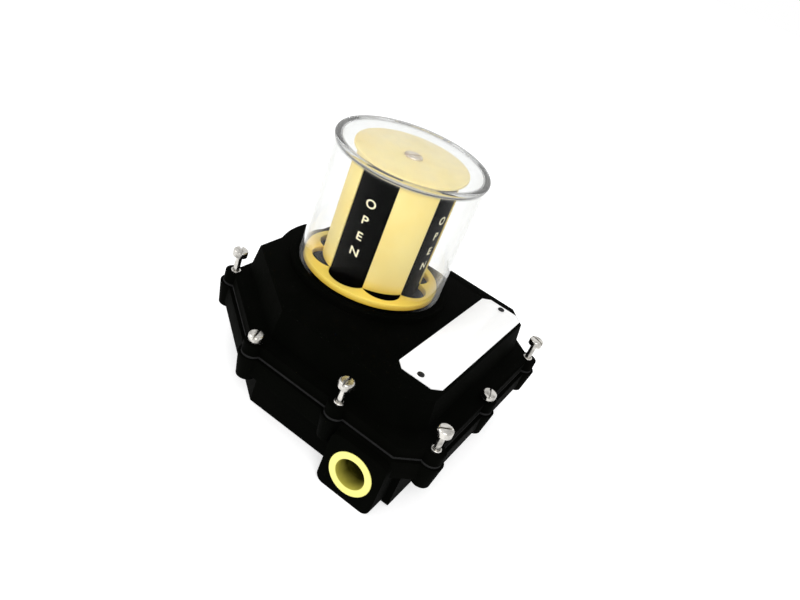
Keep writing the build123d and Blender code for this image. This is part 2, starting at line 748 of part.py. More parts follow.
# ---------------------------------------------------------------- indicator
def carrier_screw_places():
    """Centres of the four screws holding the carrier."""
    angles = [math.radians(CARRIER_SCREW_DEG + 90.0 * k) for k in range(4)]
    return [(CARRIER_SCREW_PITCH_R * math.cos(a), CARRIER_SCREW_PITCH_R * math.sin(a)) for a in angles]


def indicator_carrier():
    """Plate that clamps the dome and carries the post, mask and layshaft."""
    x, y = lay_centre()
    body = tube(CARRIER_R, CARRIER_WALL_IN, CARRIER_BOTTOM, WEB_BOTTOM)
    body += tube(CARRIER_WALL_OUT, CARRIER_WALL_IN, CARRIER_BOTTOM, COLLAR_TOP)
    body += cyl(CARRIER_WALL_IN + SUNK_JOIN, WEB_BOTTOM, WEB_TOP)
    body += cyl(POST_BOSS_R, POST_BOTTOM, WEB_BOTTOM)
    body -= cyl(POST_R + SEATED, POST_BOTTOM - CUT, WEB_TOP + CUT)
    body -= cyl(LAY_SPINDLE_R + RUNNING, WEB_BOTTOM - CUT, WEB_TOP + CUT, x, y)
    for sx, sy in carrier_screw_places():
        body -= cyl(CARRIER_SCREW_R + CARRIER_GAP, CARRIER_BOTTOM - CUT, WEB_BOTTOM + CUT, sx, sy)
    return body


def carrier_screws():
    """Four screws up through the carrier into the cover."""
    screws = []
    for x, y in carrier_screw_places():
        shank = cyl(CARRIER_SCREW_R, CARRIER_BOTTOM, WEB_BOTTOM + CARRIER_SCREW_GRIP, x, y)
        low = CARRIER_BOTTOM - CARRIER_SCREW_HEAD_H
        head = cyl(CARRIER_SCREW_HEAD_R, low, CARRIER_BOTTOM, x, y)
        reach = CARRIER_SCREW_HEAD_R + CUT
        half = SMALL_SLOT_W / 2.0
        head -= block(x - reach, x + reach, y - half, y + half, low - CUT, low + SMALL_SLOT_DEPTH)
        screws.append(shank + head)
    return Compound(children=screws)


def dome():
    """Clear flat-topped dome with a clamping flange."""
    top_inner = DOME_TOP - DOME_WALL
    outer = cyl(DOME_R, WEB_BOTTOM, DOME_TOP)
    outer = fillet(outer.edges().group_by(Axis.Z)[-1], DOME_EDGE)
    inner = cyl(DOME_R - DOME_WALL, WEB_BOTTOM - CUT, top_inner)
    inner = fillet(inner.edges().group_by(Axis.Z)[-1], DOME_EDGE_IN)
    flange = cyl(DOME_FLANGE_R, WEB_BOTTOM, WEB_BOTTOM + DOME_FLANGE_T)
    return outer + flange - inner


def dome_seal():
    """Flat seal above the dome flange."""
    z0 = WEB_BOTTOM + DOME_FLANGE_T
    return tube(DOME_FLANGE_R, DOME_R + DOME_SEAL_GAP, z0, z0 + DOME_SEAL_T)


def indicator_post():
    """Fixed post the drum turns on."""
    post = cyl(POST_R, POST_BOTTOM, POST_TOP)
    return post - cyl(CAP_SCREW_R + SEATED, POST_TOP - CAP_SCREW_L, POST_TOP + CUT)


def sector(r, half_deg, middle_deg, z0, z1):
    """Upright wedge about the shaft axis."""
    points = [(0.0, 0.0)]
    for k in range(5):
        a = math.radians(middle_deg - half_deg + half_deg * k / 2.0)
        points.append((r * math.cos(a), r * math.sin(a)))
    return prism(Polygon(*points, align=None), z0, z1)


def panel_angle(k):
    """Middle of the k-th of eight panels; even ones are windows."""
    return -180.0 + MASK_PANEL_DEG * k


def beacon_mask():
    """Fixed yellow mask: scalloped ring, four blank panels and a cap."""
    ring_top = COLLAR_TOP + MASK_RING_T
    ring = tube(MASK_RING_R, MASK_IN_R, COLLAR_TOP, ring_top)
    for k in range(8):
        a = math.radians(panel_angle(k))
        x = SCALLOP_PITCH_R * math.cos(a)
        y = SCALLOP_PITCH_R * math.sin(a)
        ring -= cyl(SCALLOP_R, COLLAR_TOP - CUT, ring_top + CUT, x, y)
    panels = tube(MASK_OUT_R, MASK_IN_R, COLLAR_TOP, POST_TOP)
    for k in range(0, 8, 2):
        half = MASK_PANEL_DEG / 2.0
        panels -= sector(MASK_RING_R, half, panel_angle(k), COLLAR_TOP - CUT, POST_TOP + CUT)
    cap_top = POST_TOP + MASK_CAP_T
    cap = cyl(MASK_CAP_R, POST_TOP, cap_top)
    cap -= cyl(CAP_SCREW_R + CARRIER_GAP, POST_TOP - CUT, cap_top + CUT)
    cap -= cyl(CAP_SCREW_HEAD_R + CARRIER_GAP, cap_top - CAP_SCREW_SUNK, cap_top + CUT)
    return ring + panels + cap


def beacon_screw():
    """Slotted screw holding the mask down on the post, its head let in."""
    seat = POST_TOP + MASK_CAP_T - CAP_SCREW_SUNK
    top = seat + CAP_SCREW_HEAD_H
    head = cyl(CAP_SCREW_HEAD_R, seat, top)
    head = fillet(head.edges().group_by(Axis.Z)[-1], CAP_SCREW_HEAD_EDGE)
    head = slotted(head, 0.0, 0.0, top, CAP_SCREW_SLOT_W, CAP_SCREW_SLOT_DEPTH, CAP_SCREW_SLOT_DEG)
    return head + cyl(CAP_SCREW_R, POST_TOP - CAP_SCREW_L + SIDE_PLAY, seat)


def indicator_drum():
    """Black drum behind the mask windows."""
    drum = cyl(DRUM_R, DRUM_BOTTOM, DRUM_TOP)
    drum -= cyl(DRUM_R - DRUM_WALL, DRUM_BOTTOM + DRUM_PLATE_T, DRUM_TOP - DRUM_PLATE_T)
    drum += cyl(DRUM_HUB_R, WEB_TOP + SIDE_PLAY, DRUM_BOTTOM + DRUM_HUB_RISE)
    return drum - cyl(POST_R + RUNNING, WEB_TOP - CUT, DRUM_TOP + CUT)


# ---------------------------------------------------------------- cams
def roller_centre(drop_deg):
    """Middle of a lever's roller when the lever has dropped by an angle."""
    a = math.radians(LEVER_FREE_DEG - drop_deg)
    return PIVOT_X + LEVER_LEN * math.cos(a), PIVOT_Y + LEVER_LEN * math.sin(a)


def cam_profile(start_drop, end_drop):
    """Closed profile that moves the lever in step with the shaft."""
    steps = 30
    first = -CAM_RUN_ON_DEG
    last = SHAFT_TRAVEL_DEG + CAM_RUN_ON_DEG
    reach = ROLLER_R + CAM_GAP
    places = []
    for k in range(steps + 1):
        turn = first + (last - first) * k / steps
        drop = start_drop + (end_drop - start_drop) * turn / SHAFT_TRAVEL_DEG
        least = min(start_drop, end_drop) - CAM_SPARE_DEG
        drop = min(max(drop, least), max(start_drop, end_drop))
        x, y = roller_centre(drop)
        r = math.hypot(x, y)
        a = math.atan2(y, x) - math.radians(turn)
        places.append((r, a))
    points = []
    for k, (r, a) in enumerate(places):
        before = places[max(k - 1, 0)]
        after = places[min(k + 1, steps)]
        slope = (after[0] - before[0]) / ((after[1] - before[1]) * r)
        tilt = math.atan(slope)
        px = r * math.cos(a) - reach * math.cos(a - tilt)
        py = r * math.sin(a) - reach * math.sin(a - tilt)
        points.append((px, py))
    last_a = places[-1][1]
    open_angle = 2.0 * math.pi - abs(last_a - places[0][1])
    for k in range(1, 12):
        a = last_a - open_angle * k / 12.0
        points.append((CAM_REST_R * math.cos(a), CAM_REST_R * math.sin(a)))
    points.reverse()
    return Polygon(*points, align=None)


def cam(z0, start_drop, end_drop):
    """Cam disc with a hub for its set screw."""
    body = prism(cam_profile(start_drop, end_drop), z0, z0 + CAM_T)
    body += cyl(CAM_HUB_R, z0 + CAM_T, z0 + CAM_T + CAM_HUB_T)
    body -= cyl(SHAFT_R + SEATED, z0 - CUT, z0 + CAM_T + CAM_HUB_T + CUT)
    level = z0 + CAM_T + CAM_HUB_T / 2.0
    return body - along_x(SETSCREW_R + SEATED, 0.0, CAM_HUB_R + CUT, 0.0, level)


def cam_setscrews():
    """Set screws locking the cams on the shaft."""
    screws = []
    for z0 in (CAM_LOW_Z, CAM_LOW_Z + SWITCH_PITCH_Z):
        level = z0 + CAM_T + CAM_HUB_T / 2.0
        outer = CAM_HUB_R - SETSCREW_SUNK
        screw = along_x(SETSCREW_R, SHAFT_R + SEATED, outer, 0.0, level)
        key = along_x(SETSCREW_KEY_R, outer - SETSCREW_KEY_DEPTH, outer + CUT, 0.0, level)
        screws.append(screw - key)
    return Compound(children=screws)


# ---------------------------------------------------------------- switches
def switch_body(z0):
    """Snap switch case with lever cheeks, plunger slot and screw holes."""
    mid = z0 + SWITCH_T / 2.0
    back = SWITCH_FACE_Y - SWITCH_DEPTH
    body = block(SWITCH_X0, SWITCH_X0 + SWITCH_LEN, back, SWITCH_FACE_Y, z0, z0 + SWITCH_T)
    inner = LEVER_W / 2.0 + CHEEK_GAP
    outer = inner + CHEEK_T
    for low, high in ((-outer, -inner), (inner, outer)):
        x0 = PIVOT_X - CHEEK_R
        x1 = PIVOT_X + CHEEK_R
        body += block(x0, x1, SWITCH_FACE_Y, PIVOT_Y, mid + low, mid + high)
        body += cyl(CHEEK_R, mid + low, mid + high, PIVOT_X, PIVOT_Y)
    body -= cyl(PIVOT_PIN_R + RUNNING, mid - outer - SIDE_PLAY, mid + outer + SIDE_PLAY, PIVOT_X, PIVOT_Y)
    x, _ = plunger_place(0.0)
    half_w = PLUNGER_W / 2.0 + PLUNGER_GAP
    half_h = PLUNGER_H / 2.0 + PLUNGER_GAP
    low_y = SWITCH_FACE_Y - PLUNGER_WELL
    body -= block(x - half_w, x + half_w, low_y, SWITCH_FACE_Y + CUT, mid - half_h, mid + half_h)
    for hx, hy in switch_hole_places():
        body -= cyl(SWITCH_SCREW_R + SWITCH_HOLE_GAP, z0 - CUT, z0 + SWITCH_T + CUT, hx, hy)
    return body


def plunger_place(drop_deg):
    """Place under the lever bar where the plunger stands."""
    a = math.radians(LEVER_FREE_DEG - drop_deg)
    x = PIVOT_X + PLUNGER_ARM * math.cos(math.radians(LEVER_FREE_DEG))
    rise = (x - PIVOT_X) * math.tan(a) - LEVER_T / 2.0 / math.cos(a)
    return x, PIVOT_Y + rise - PLUNGER_W / 2.0 * math.tan(a) - PLUNGER_PLAY


def plunger(z0, drop_deg):
    """Small plunger pressed by the lever."""
    mid = z0 + SWITCH_T / 2.0
    x, top = plunger_place(drop_deg)
    half_w = PLUNGER_W / 2.0
    half_h = PLUNGER_H / 2.0
    return block(x - half_w, x + half_w, top - PLUNGER_L, top, mid - half_h, mid + half_h)


def lever(z0, drop_deg):
    """Switch lever with its pivot pin, bar, fork and roller pin."""
    mid = z0 + SWITCH_T / 2.0
    half = LEVER_W / 2.0
    fork = half - LEVER_FORK_W
    bar_end = LEVER_LEN - LEVER_FORK_BACK + LEVER_FORK_W
    body = block(0.0, bar_end, -LEVER_T / 2.0, LEVER_T / 2.0, -half, half)
    body += cyl(LEVER_BOSS_R, -half, half)
    pin = half + CHEEK_GAP + CHEEK_T
    body += cyl(PIVOT_PIN_R, -pin, pin)
    x0 = LEVER_LEN - LEVER_FORK_BACK
    x1 = LEVER_LEN + LEVER_FORK_END
    rise = LEVER_FORK_H / 2.0
    for low, high in ((-half, -fork), (fork, half)):
        body += block(x0, x1, -rise, rise, low, high)
    body += cyl(PIVOT_PIN_R, -half, half, LEVER_LEN, 0.0)
    return Pos(PIVOT_X, PIVOT_Y, mid) * Rot(0, 0, LEVER_FREE_DEG - drop_deg) * body


def roller(z0, drop_deg):
    """Roller on the end of a lever."""
    mid = z0 + SWITCH_T / 2.0
    x, y = roller_centre(drop_deg)
    return tube(ROLLER_R, PIVOT_PIN_R + RUNNING, mid - ROLLER_W / 2.0, mid + ROLLER_W / 2.0, x, y)


def switch_terminals():
    """Three blade terminals on the back of each switch."""
    back = SWITCH_FACE_Y - SWITCH_DEPTH
    half_t = BLADE_T / 2.0
    half_w = BLADE_W / 2.0
    blades = []
    for z0 in (SWITCH_LOW_Z, SWITCH_LOW_Z + SWITCH_PITCH_Z):
        mid = z0 + SWITCH_T / 2.0
        for dx in BLADE_X:
            x = SWITCH_X0 + dx
            blades.append(block(x - half_t, x + half_t, back - BLADE_L, back, mid - half_w, mid + half_w))
    return Compound(children=blades)


def switch_spacer():
    """Insulating sheet between the two switches."""
    back = SWITCH_FACE_Y - SWITCH_DEPTH
    z0 = SWITCH_LOW_Z + SWITCH_T
    z1 = SWITCH_LOW_Z + SWITCH_PITCH_Z
    sheet = block(SWITCH_X0, SWITCH_X0 + SWITCH_LEN, back, SWITCH_FACE_Y, z0, z1)
    for x, y in switch_hole_places():
        sheet -= cyl(SWITCH_SCREW_R + SWITCH_HOLE_GAP, z0 - CUT, z1 + CUT, x, y)
    return sheet


def small_screw(x, y, foot, seat, shank_r, head_r, head_h):
    """Slotted screw standing in a floor, post or strip."""
    top = seat + head_h
    head = cyl(head_r, seat, top, x, y)
    head = slotted(head, x, y, top, SMALL_SLOT_W, SMALL_SLOT_DEPTH)
    return head + cyl(shank_r, foot, seat, x, y)


def switch_screws():
    """Two long screws through the switch stack into the floor posts."""
    top = SWITCH_LOW_Z + SWITCH_PITCH_Z + SWITCH_T
    foot = FLOOR_TOP + FOOT_SCREW_GAP
    sizes = (SWITCH_SCREW_R, SWITCH_SCREW_HEAD_R, SWITCH_SCREW_HEAD_H)
    return Compound(children=[small_screw(x, y, foot, top, *sizes) for x, y in switch_hole_places()])


# ---------------------------------------------------------------- terminals
def strip_screw_places():
    """Centres of the two screws holding the terminal strip."""
    length = STRIP_PITCH * STRIP_POLES
    left = STRIP_X0 - STRIP_FOOT_OUT
    right = STRIP_X0 + length + STRIP_FOOT_OUT
    return [(left, STRIP_Y), (right, STRIP_Y)]


def pole_places():
    """Centres of the wire clamp screws."""
    places = []
    for k in range(STRIP_POLES):
        x = STRIP_X0 + STRIP_PITCH * (k + 0.5)
        places.append((x, STRIP_Y - STRIP_ROW))
        places.append((x, STRIP_Y + STRIP_ROW))
    return places


def terminal_strip():
    """Barrier strip with end feet."""
    length = STRIP_PITCH * STRIP_POLES
    y0 = STRIP_Y - STRIP_W / 2.0
    y1 = STRIP_Y + STRIP_W / 2.0
    top = FLOOR_TOP + STRIP_H
    bed = top - STRIP_BED
    strip = block(STRIP_X0, STRIP_X0 + length, y0, y1, FLOOR_TOP, bed)
    for k in range(STRIP_POLES + 1):
        x = STRIP_X0 + STRIP_PITCH * k
        x0 = max(x - STRIP_BARRIER_T / 2.0, STRIP_X0)
        x1 = min(x + STRIP_BARRIER_T / 2.0, STRIP_X0 + length)
        strip += block(x0, x1, y0, y1, bed - STRIP_BARRIER_FOOT, top)
    half_l = STRIP_FOOT_L / 2.0
    half_w = STRIP_FOOT_W / 2.0
    foot_top = FLOOR_TOP + STRIP_FOOT_T
    for x, y in strip_screw_places():
        strip += block(x - half_l, x + half_l, y - half_w, y + half_w, FLOOR_TOP, foot_top)
    for x, y in strip_screw_places():
        strip -= cyl(FOOT_SCREW_R + FOOT_SCREW_GAP, FLOOR_TOP - CUT, foot_top + CUT, x, y)
    for x, y in pole_places():
        strip -= cyl(CLAMP_R + SEATED, bed - CLAMP_HOLE, top, x, y)
    return strip


def terminal_screws():
    """Sixteen wire clamp screws of the strip."""
    seat = FLOOR_TOP + STRIP_H - STRIP_BED
    foot = seat - CLAMP_L
    sizes = (CLAMP_R, CLAMP_HEAD_R, CLAMP_HEAD_H)
    return Compound(children=[small_screw(x, y, foot, seat, *sizes) for x, y in pole_places()])


def strip_screws():
    """Two screws holding the strip to the floor."""
    seat = FLOOR_TOP + STRIP_FOOT_T
    foot = FLOOR_TOP - FOOT_SCREW_SUNK
    sizes = (FOOT_SCREW_R, FOOT_SCREW_HEAD_R, SWITCH_SCREW_HEAD_H)
    return Compound(children=[small_screw(x, y, foot, seat, *sizes) for x, y in strip_screw_places()])


def ground_screw():
    """Earthing screw on its floor post."""
    seat = FLOOR_TOP + GROUND_POST_H
    under = seat + GROUND_WASHER_T
    foot = FLOOR_TOP + GROUND_SCREW_FOOT
    sizes = (GROUND_SCREW_R, GROUND_HEAD_R, GROUND_HEAD_H)
    screw = small_screw(GROUND_X, GROUND_Y, foot, under, *sizes)
    return screw + cyl(GROUND_WASHER_R, seat, under, GROUND_X, GROUND_Y)


# ---------------------------------------------------------------- writing
def main():
    """Build and write every piece."""
    os.makedirs("parts", exist_ok=True)
    high = SWITCH_LOW_Z + SWITCH_PITCH_Z
    cam_high = CAM_LOW_Z + SWITCH_PITCH_Z
    travel = LEVER_TRAVEL_DEG
    save("housing", housing())
    save("cover_gasket", cover_gasket())
    save("cover", cover())
    names = ("back_left", "left", "front_left", "front_right")
    for name, (x, y), turn in zip(names, lifted_screws(), LIFTED_SLOTS):
        save("cover_screw_" + name, cover_screw(x, y, SCREW_LIFT, turn))
    seated = [cover_screw(x, y, 0.0, turn) for (x, y), turn in zip(seated_screws(), SEATED_SLOTS)]
    save("cover_screws_seated", Compound(children=seated))
    save("retaining_rings", retaining_rings())
    save("nameplate", nameplate())
    save("nameplate_pins", nameplate_pins())
    save("conduit_plug", conduit_plug())
    save("drive_shaft", drive_shaft())
    save("bushing_lower", bushing(BUSH_LOW_Z))
    save("bushing_upper", bushing(BUSH_LOW_Z + BUSH_L + SEAL_SPACE))
    save("shaft_seal", shaft_seal())
    save("shaft_clip", shaft_clip())
    save("shaft_gear", shaft_gear())
    save("layshaft", layshaft())
    save("layshaft_gear", layshaft_gear())
    save("layshaft_clip", layshaft_clip())
    save("drum_gear", drum_gear())
    save("indicator_carrier", indicator_carrier())
    save("carrier_screws", carrier_screws())
    save("dome", dome())
    save("dome_seal", dome_seal())
    save("indicator_post", indicator_post())
    save("beacon_mask", beacon_mask())
    save("beacon_screw", beacon_screw())
    save("indicator_drum", indicator_drum())
    save("cam_lower", cam(CAM_LOW_Z, 0.0, travel))
    save("cam_upper", cam(cam_high, travel, 0.0))
    save("cam_setscrews", cam_setscrews())
    save("switch_lower", switch_body(SWITCH_LOW_Z))
    save("switch_upper", switch_body(high))
    save("lever_lower", lever(SWITCH_LOW_Z, 0.0))
    save("lever_upper", lever(high, travel))
    save("roller_lower", roller(SWITCH_LOW_Z, 0.0))
    save("roller_upper", roller(high, travel))
    save("plunger_lower", plunger(SWITCH_LOW_Z, 0.0))
    save("plunger_upper", plunger(high, travel))
    save("switch_terminals", switch_terminals())
    save("switch_spacer", switch_spacer())
    save("switch_screws", switch_screws())
    save("terminal_strip", terminal_strip())
    save("terminal_screws", terminal_screws())
    save("strip_screws", strip_screws())
    save("ground_screw", ground_screw())


if __name__ == "__main__":
    main()
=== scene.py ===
"""Looks of the valve limit switch box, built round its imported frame."""

from __future__ import annotations

import json
import logging
import math
from dataclasses import dataclass
from enum import Enum
from typing import Callable, Iterable, Sequence

import bmesh
import bpy
from mathutils import Matrix, Vector


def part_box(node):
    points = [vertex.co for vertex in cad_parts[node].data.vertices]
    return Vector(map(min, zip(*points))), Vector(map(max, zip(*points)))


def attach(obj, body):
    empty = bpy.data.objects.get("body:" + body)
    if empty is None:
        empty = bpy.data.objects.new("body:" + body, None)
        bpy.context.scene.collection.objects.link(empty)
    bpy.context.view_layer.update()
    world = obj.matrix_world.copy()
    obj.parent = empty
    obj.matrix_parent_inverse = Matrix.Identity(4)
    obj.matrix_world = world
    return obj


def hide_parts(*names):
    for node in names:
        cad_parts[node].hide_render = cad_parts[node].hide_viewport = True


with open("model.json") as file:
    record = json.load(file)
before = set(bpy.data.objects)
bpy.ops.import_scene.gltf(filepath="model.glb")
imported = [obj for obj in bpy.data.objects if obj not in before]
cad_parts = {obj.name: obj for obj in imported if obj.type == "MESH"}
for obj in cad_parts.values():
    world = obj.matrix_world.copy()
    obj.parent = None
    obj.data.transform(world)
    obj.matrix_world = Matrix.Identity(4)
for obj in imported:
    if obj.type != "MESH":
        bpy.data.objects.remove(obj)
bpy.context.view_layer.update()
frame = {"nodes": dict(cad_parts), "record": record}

LOG = logging.getLogger("switch_box")
MM = 0.001

Colour = tuple[float, float, float]
Span = tuple[float, float]
Point = tuple[float, float]

WHITE: Colour = (1.0, 1.0, 1.0)
PLACES = 8
FIRST_PLACE = -180.0


class Axis(Enum):
    """Direction that a grain or brushing runs along."""

    ALL = (1.0, 1.0, 1.0)
    ALONG_Z = (1.0, 1.0, 0.06)
    ALONG_X = (0.06, 1.0, 1.0)


class Word(Enum):
    """Words of the position indicator."""

    OPEN = "OPEN"
    SHUT = "SHUT"


# ---------------------------------------------------------------- finishes
@dataclass(frozen=True)
class Noise:
    """Noise by its scale per metre, its detail and the way it is drawn out."""

    scale: float
    detail: float
    along: Axis = Axis.ALL


@dataclass(frozen=True)
class Relief:
    """Fine bumps by the height of a full step and their strength."""

    depth: float
    strength: float


class Graph:
    """Small wrapper that makes and joins shader nodes of one material."""

    def __init__(self, name: str) -> None:
        """Make an empty material.

        Args:
            name: Name of the material.
        """
        self.material = bpy.data.materials.new(name)
        self.material.use_nodes = True
        self.tree = self.material.node_tree
        self.tree.nodes.clear()
        self.output = self.tree.nodes.new("ShaderNodeOutputMaterial")

    def add(self, kind: str, **values: object) -> bpy.types.Node:
        """Add one node.

        Args:
            kind: Blender's node type.
            values: Socket values, by the socket's name with _ for a space.

        Returns:
            The new node.
        """
        node = self.tree.nodes.new(kind)
        for key, value in values.items():
            node.inputs[key.replace("_", " ")].default_value = value
        return node

    def join(self, source: bpy.types.NodeSocket, target: bpy.types.NodeSocket) -> None:
        """Link two sockets."""
        self.tree.links.new(source, target)

    def place(self) -> bpy.types.NodeSocket:
        """Point of the surface in the object's own space."""
        return self.add("ShaderNodeTexCoord").outputs["Object"]

    def level(self, axis: str, where: Span) -> bpy.types.NodeSocket:
        """Value that goes from 0 to 1 between two levels of the object.

        Args:
            axis: X, Y or Z.
            where: Levels where it is 0 and 1, in metres.

        Returns:
            The value socket.
        """
        parts = self.add("ShaderNodeSeparateXYZ")
        self.join(self.place(), parts.inputs["Vector"])
        return self.share(parts.outputs[axis], where)

    def share(self, value: bpy.types.NodeSocket, where: Span) -> bpy.types.NodeSocket:
        """Map the values between two limits onto 0 to 1."""
        node = self.add("ShaderNodeMapRange", From_Min=where[0], From_Max=where[1])
        self.join(value, node.inputs["Value"])
        return node.outputs["Result"]

    def span(self, value: bpy.types.NodeSocket, result: Span) -> bpy.types.NodeSocket:
        """Map a 0 to 1 value onto a range."""
        node = self.add("ShaderNodeMapRange", To_Min=result[0], To_Max=result[1])
        self.join(value, node.inputs["Value"])
        return node.outputs["Result"]

    def math(self, operation: str, first: bpy.types.NodeSocket, second: bpy.types.NodeSocket,
             clamp: bool = False) -> bpy.types.NodeSocket:
        """Reckon with two values.

        Args:
            operation: Blender's name of the sum.
            first: First value.
            second: Second value.
            clamp: Whether the result is kept between 0 and 1.

        Returns:
            The value socket.
        """
        node = self.add("ShaderNodeMath")
        node.operation = operation
        node.use_clamp = clamp
        self.join(first, node.inputs[0])
        self.join(second, node.inputs[1])
        return node.outputs["Value"]

    def grain(self, noise: Noise) -> bpy.types.NodeSocket:
        """Cover the surface with a noise in object space.

        Args:
            noise: The noise.

        Returns:
            The value socket.
        """
        stretch = self.add("ShaderNodeMapping", Scale=noise.along.value)
        cloud = self.add("ShaderNodeTexNoise", Scale=noise.scale, Detail=noise.detail)
        self.join(self.place(), stretch.inputs["Vector"])
        self.join(stretch.outputs["Vector"], cloud.inputs["Vector"])
        return cloud.outputs["Fac"]

    def ramp(self, value: bpy.types.NodeSocket, low: Colour, high: Colour,
             where: Span) -> bpy.types.NodeSocket:
        """Colour ramp between two colours.

        Args:
            value: Socket that drives the ramp.
            low: Colour at the start.
            high: Colour at the end.
            where: Values where the ramp starts and ends.

        Returns:
            The colour socket.
        """
        ramp = self.add("ShaderNodeValToRGB")
        for element, position, colour in zip(ramp.color_ramp.elements, where, (low, high)):
            element.position = position
            element.color = (*colour, 1.0)
        self.join(value, ramp.inputs["Fac"])
        return ramp.outputs["Color"]

    def bump(self, value: bpy.types.NodeSocket, relief: Relief) -> bpy.types.NodeSocket:
        """Surface normal raised by a height value."""
        node = self.add("ShaderNodeBump", Distance=relief.depth, Strength=relief.strength)
        self.join(value, node.inputs["Height"])
        return node.outputs["Normal"]

    def mix(self, share: bpy.types.NodeSocket, first: bpy.types.NodeSocket,
            second: bpy.types.NodeSocket) -> bpy.types.NodeSocket:
        """Mix two shaders.

        Args:
            share: Share of the second.
            first: First shader.
            second: Second shader.

        Returns:
            The shader socket.
        """
        node = self.add("ShaderNodeMixShader")
        self.join(share, node.inputs["Fac"])
        self.join(first, node.inputs[1])
        self.join(second, node.inputs[2])
        return node.outputs["Shader"]

    def finish(self, shader: bpy.types.NodeSocket) -> bpy.types.Material:
        """Join the last shader to the output and give the material."""
        self.join(shader, self.output.inputs["Surface"])
        return self.material


def around(middle: float, spread: Span) -> Span:
    """Range that reaches a little below and above a value."""
    return (middle + spread[0], middle + spread[1])


@dataclass(frozen=True)
class TwoTone:
    """Opaque finish: one tone that turns to another in patches, over a fine skin."""

    name: str
    tone: Colour
    second: Colour
    roughness: float = 0.5
    specular: float = 0.5
    metallic: float = 0.0
    skin: Noise = Noise(1500.0, 2.0)
    patches: Noise = Noise(38.0, 5.0)
    where: Span = (0.4, 0.8)
    rough_spread: Span = (-0.1, 0.1)
    relief: Relief = Relief(0.03 * MM, 0.3)

    def build(self) -> bpy.types.Material:
        """Make the material.

        Returns:
            The material.
        """
        graph = Graph(self.name)
        shader = graph.add("ShaderNodeBsdfPrincipled", Metallic=self.metallic,
                           Specular_IOR_Level=self.specular)
        patches = graph.grain(self.patches)
        tone = graph.ramp(patches, self.tone, self.second, self.where)
        rough = graph.span(patches, around(self.roughness, self.rough_spread))
        graph.join(tone, shader.inputs["Base Color"])
        graph.join(rough, shader.inputs["Roughness"])
        graph.join(graph.bump(graph.grain(self.skin), self.relief), shader.inputs["Normal"])
        return graph.finish(shader.outputs["BSDF"])


@dataclass(frozen=True)
class Coating(TwoTone):
    """Thick matt coating on cast metal: fine orange peel, faintly rubbed."""

    roughness: float = 0.6
    specular: float = 0.16
    skin: Noise = Noise(900.0, 3.0)
    patches: Noise = Noise(45.0, 6.0)
    where: Span = (0.45, 0.85)
    rough_spread: Span = (-0.1, 0.15)
    relief: Relief = Relief(0.12 * MM, 0.5)


@dataclass(frozen=True)
class Metal(TwoTone):
    """Bare turned or rolled metal: fine tool marks and cloudy dulling."""

    roughness: float = 0.28
    metallic: float = 1.0
    skin: Noise = Noise(2600.0, 2.0)
    patches: Noise = Noise(260.0, 5.0)
    rough_spread: Span = (-0.08, 0.14)
    relief: Relief = Relief(0.03 * MM, 0.25)


@dataclass(frozen=True)
class Plastic(TwoTone):
    """Moulded plastic, slightly aged in patches."""

    roughness: float = 0.42
    specular: float = 0.4
    rough_spread: Span = (-0.06, 0.1)


@dataclass(frozen=True)
class YellowMoulding:
    """Pale yellow plastic with painted shade: deeper gold, then amber, towards its foot."""

    name: str
    pale: Colour
    gold: Colour
    amber: Colour
    foot_z: float = 51.5 * MM
    gold_z: float = 55.0 * MM
    pale_z: float = 60.0 * MM
    specular: float = 0.3
    glow: float = 0.1
    glow_reach: Colour = (4.0 * MM, 3.0 * MM, 1.0 * MM)
    patches: Noise = Noise(38.0, 5.0)
    aged: Colour = (0.97, 0.87, 0.66)
    aged_where: Span = (0.45, 0.85)
    rough: Span = (0.38, 0.55)
    skin: Noise = Noise(1500.0, 2.0)
    relief: Relief = Relief(0.03 * MM, 0.3)

    def tones(self, graph: Graph) -> bpy.types.NodeSocket:
        """Three tones up the height of the piece, painted shade: amber at the foot, gold, then
        pale.

        Args:
            graph: The material's graph.

        Returns:
            The colour socket.
        """
        tone = graph.add("ShaderNodeValToRGB")
        elements = tone.color_ramp.elements
        elements[0].color = (*self.amber, 1.0)
        elements[1].color = (*self.pale, 1.0)
        middle = elements.new((self.gold_z - self.foot_z) / (self.pale_z - self.foot_z))
        middle.color = (*self.gold, 1.0)
        graph.join(graph.level("Z", (self.foot_z, self.pale_z)), tone.inputs["Fac"])
        return tone.outputs["Color"]

    def build(self) -> bpy.types.Material:
        """Make the material: painted shade up its height, under cloudy ageing.

        Returns:
            The material.
        """
        graph = Graph(self.name)
        shader = graph.add("ShaderNodeBsdfPrincipled", Specular_IOR_Level=self.specular,
                           Subsurface_Weight=self.glow, Subsurface_Radius=self.glow_reach,
                           Subsurface_Scale=1.0)
        cloud = graph.grain(self.patches)
        both = graph.add("ShaderNodeMix")
        both.data_type = "RGBA"
        both.blend_type = "MULTIPLY"
        both.inputs["Factor"].default_value = 1.0
        graph.join(self.tones(graph), both.inputs["A"])
        graph.join(graph.ramp(cloud, WHITE, self.aged, self.aged_where), both.inputs["B"])
        graph.join(both.outputs["Result"], shader.inputs["Base Color"])
        graph.join(graph.span(cloud, self.rough), shader.inputs["Roughness"])
        graph.join(graph.bump(graph.grain(self.skin), self.relief), shader.inputs["Normal"])
        return graph.finish(shader.outputs["BSDF"])


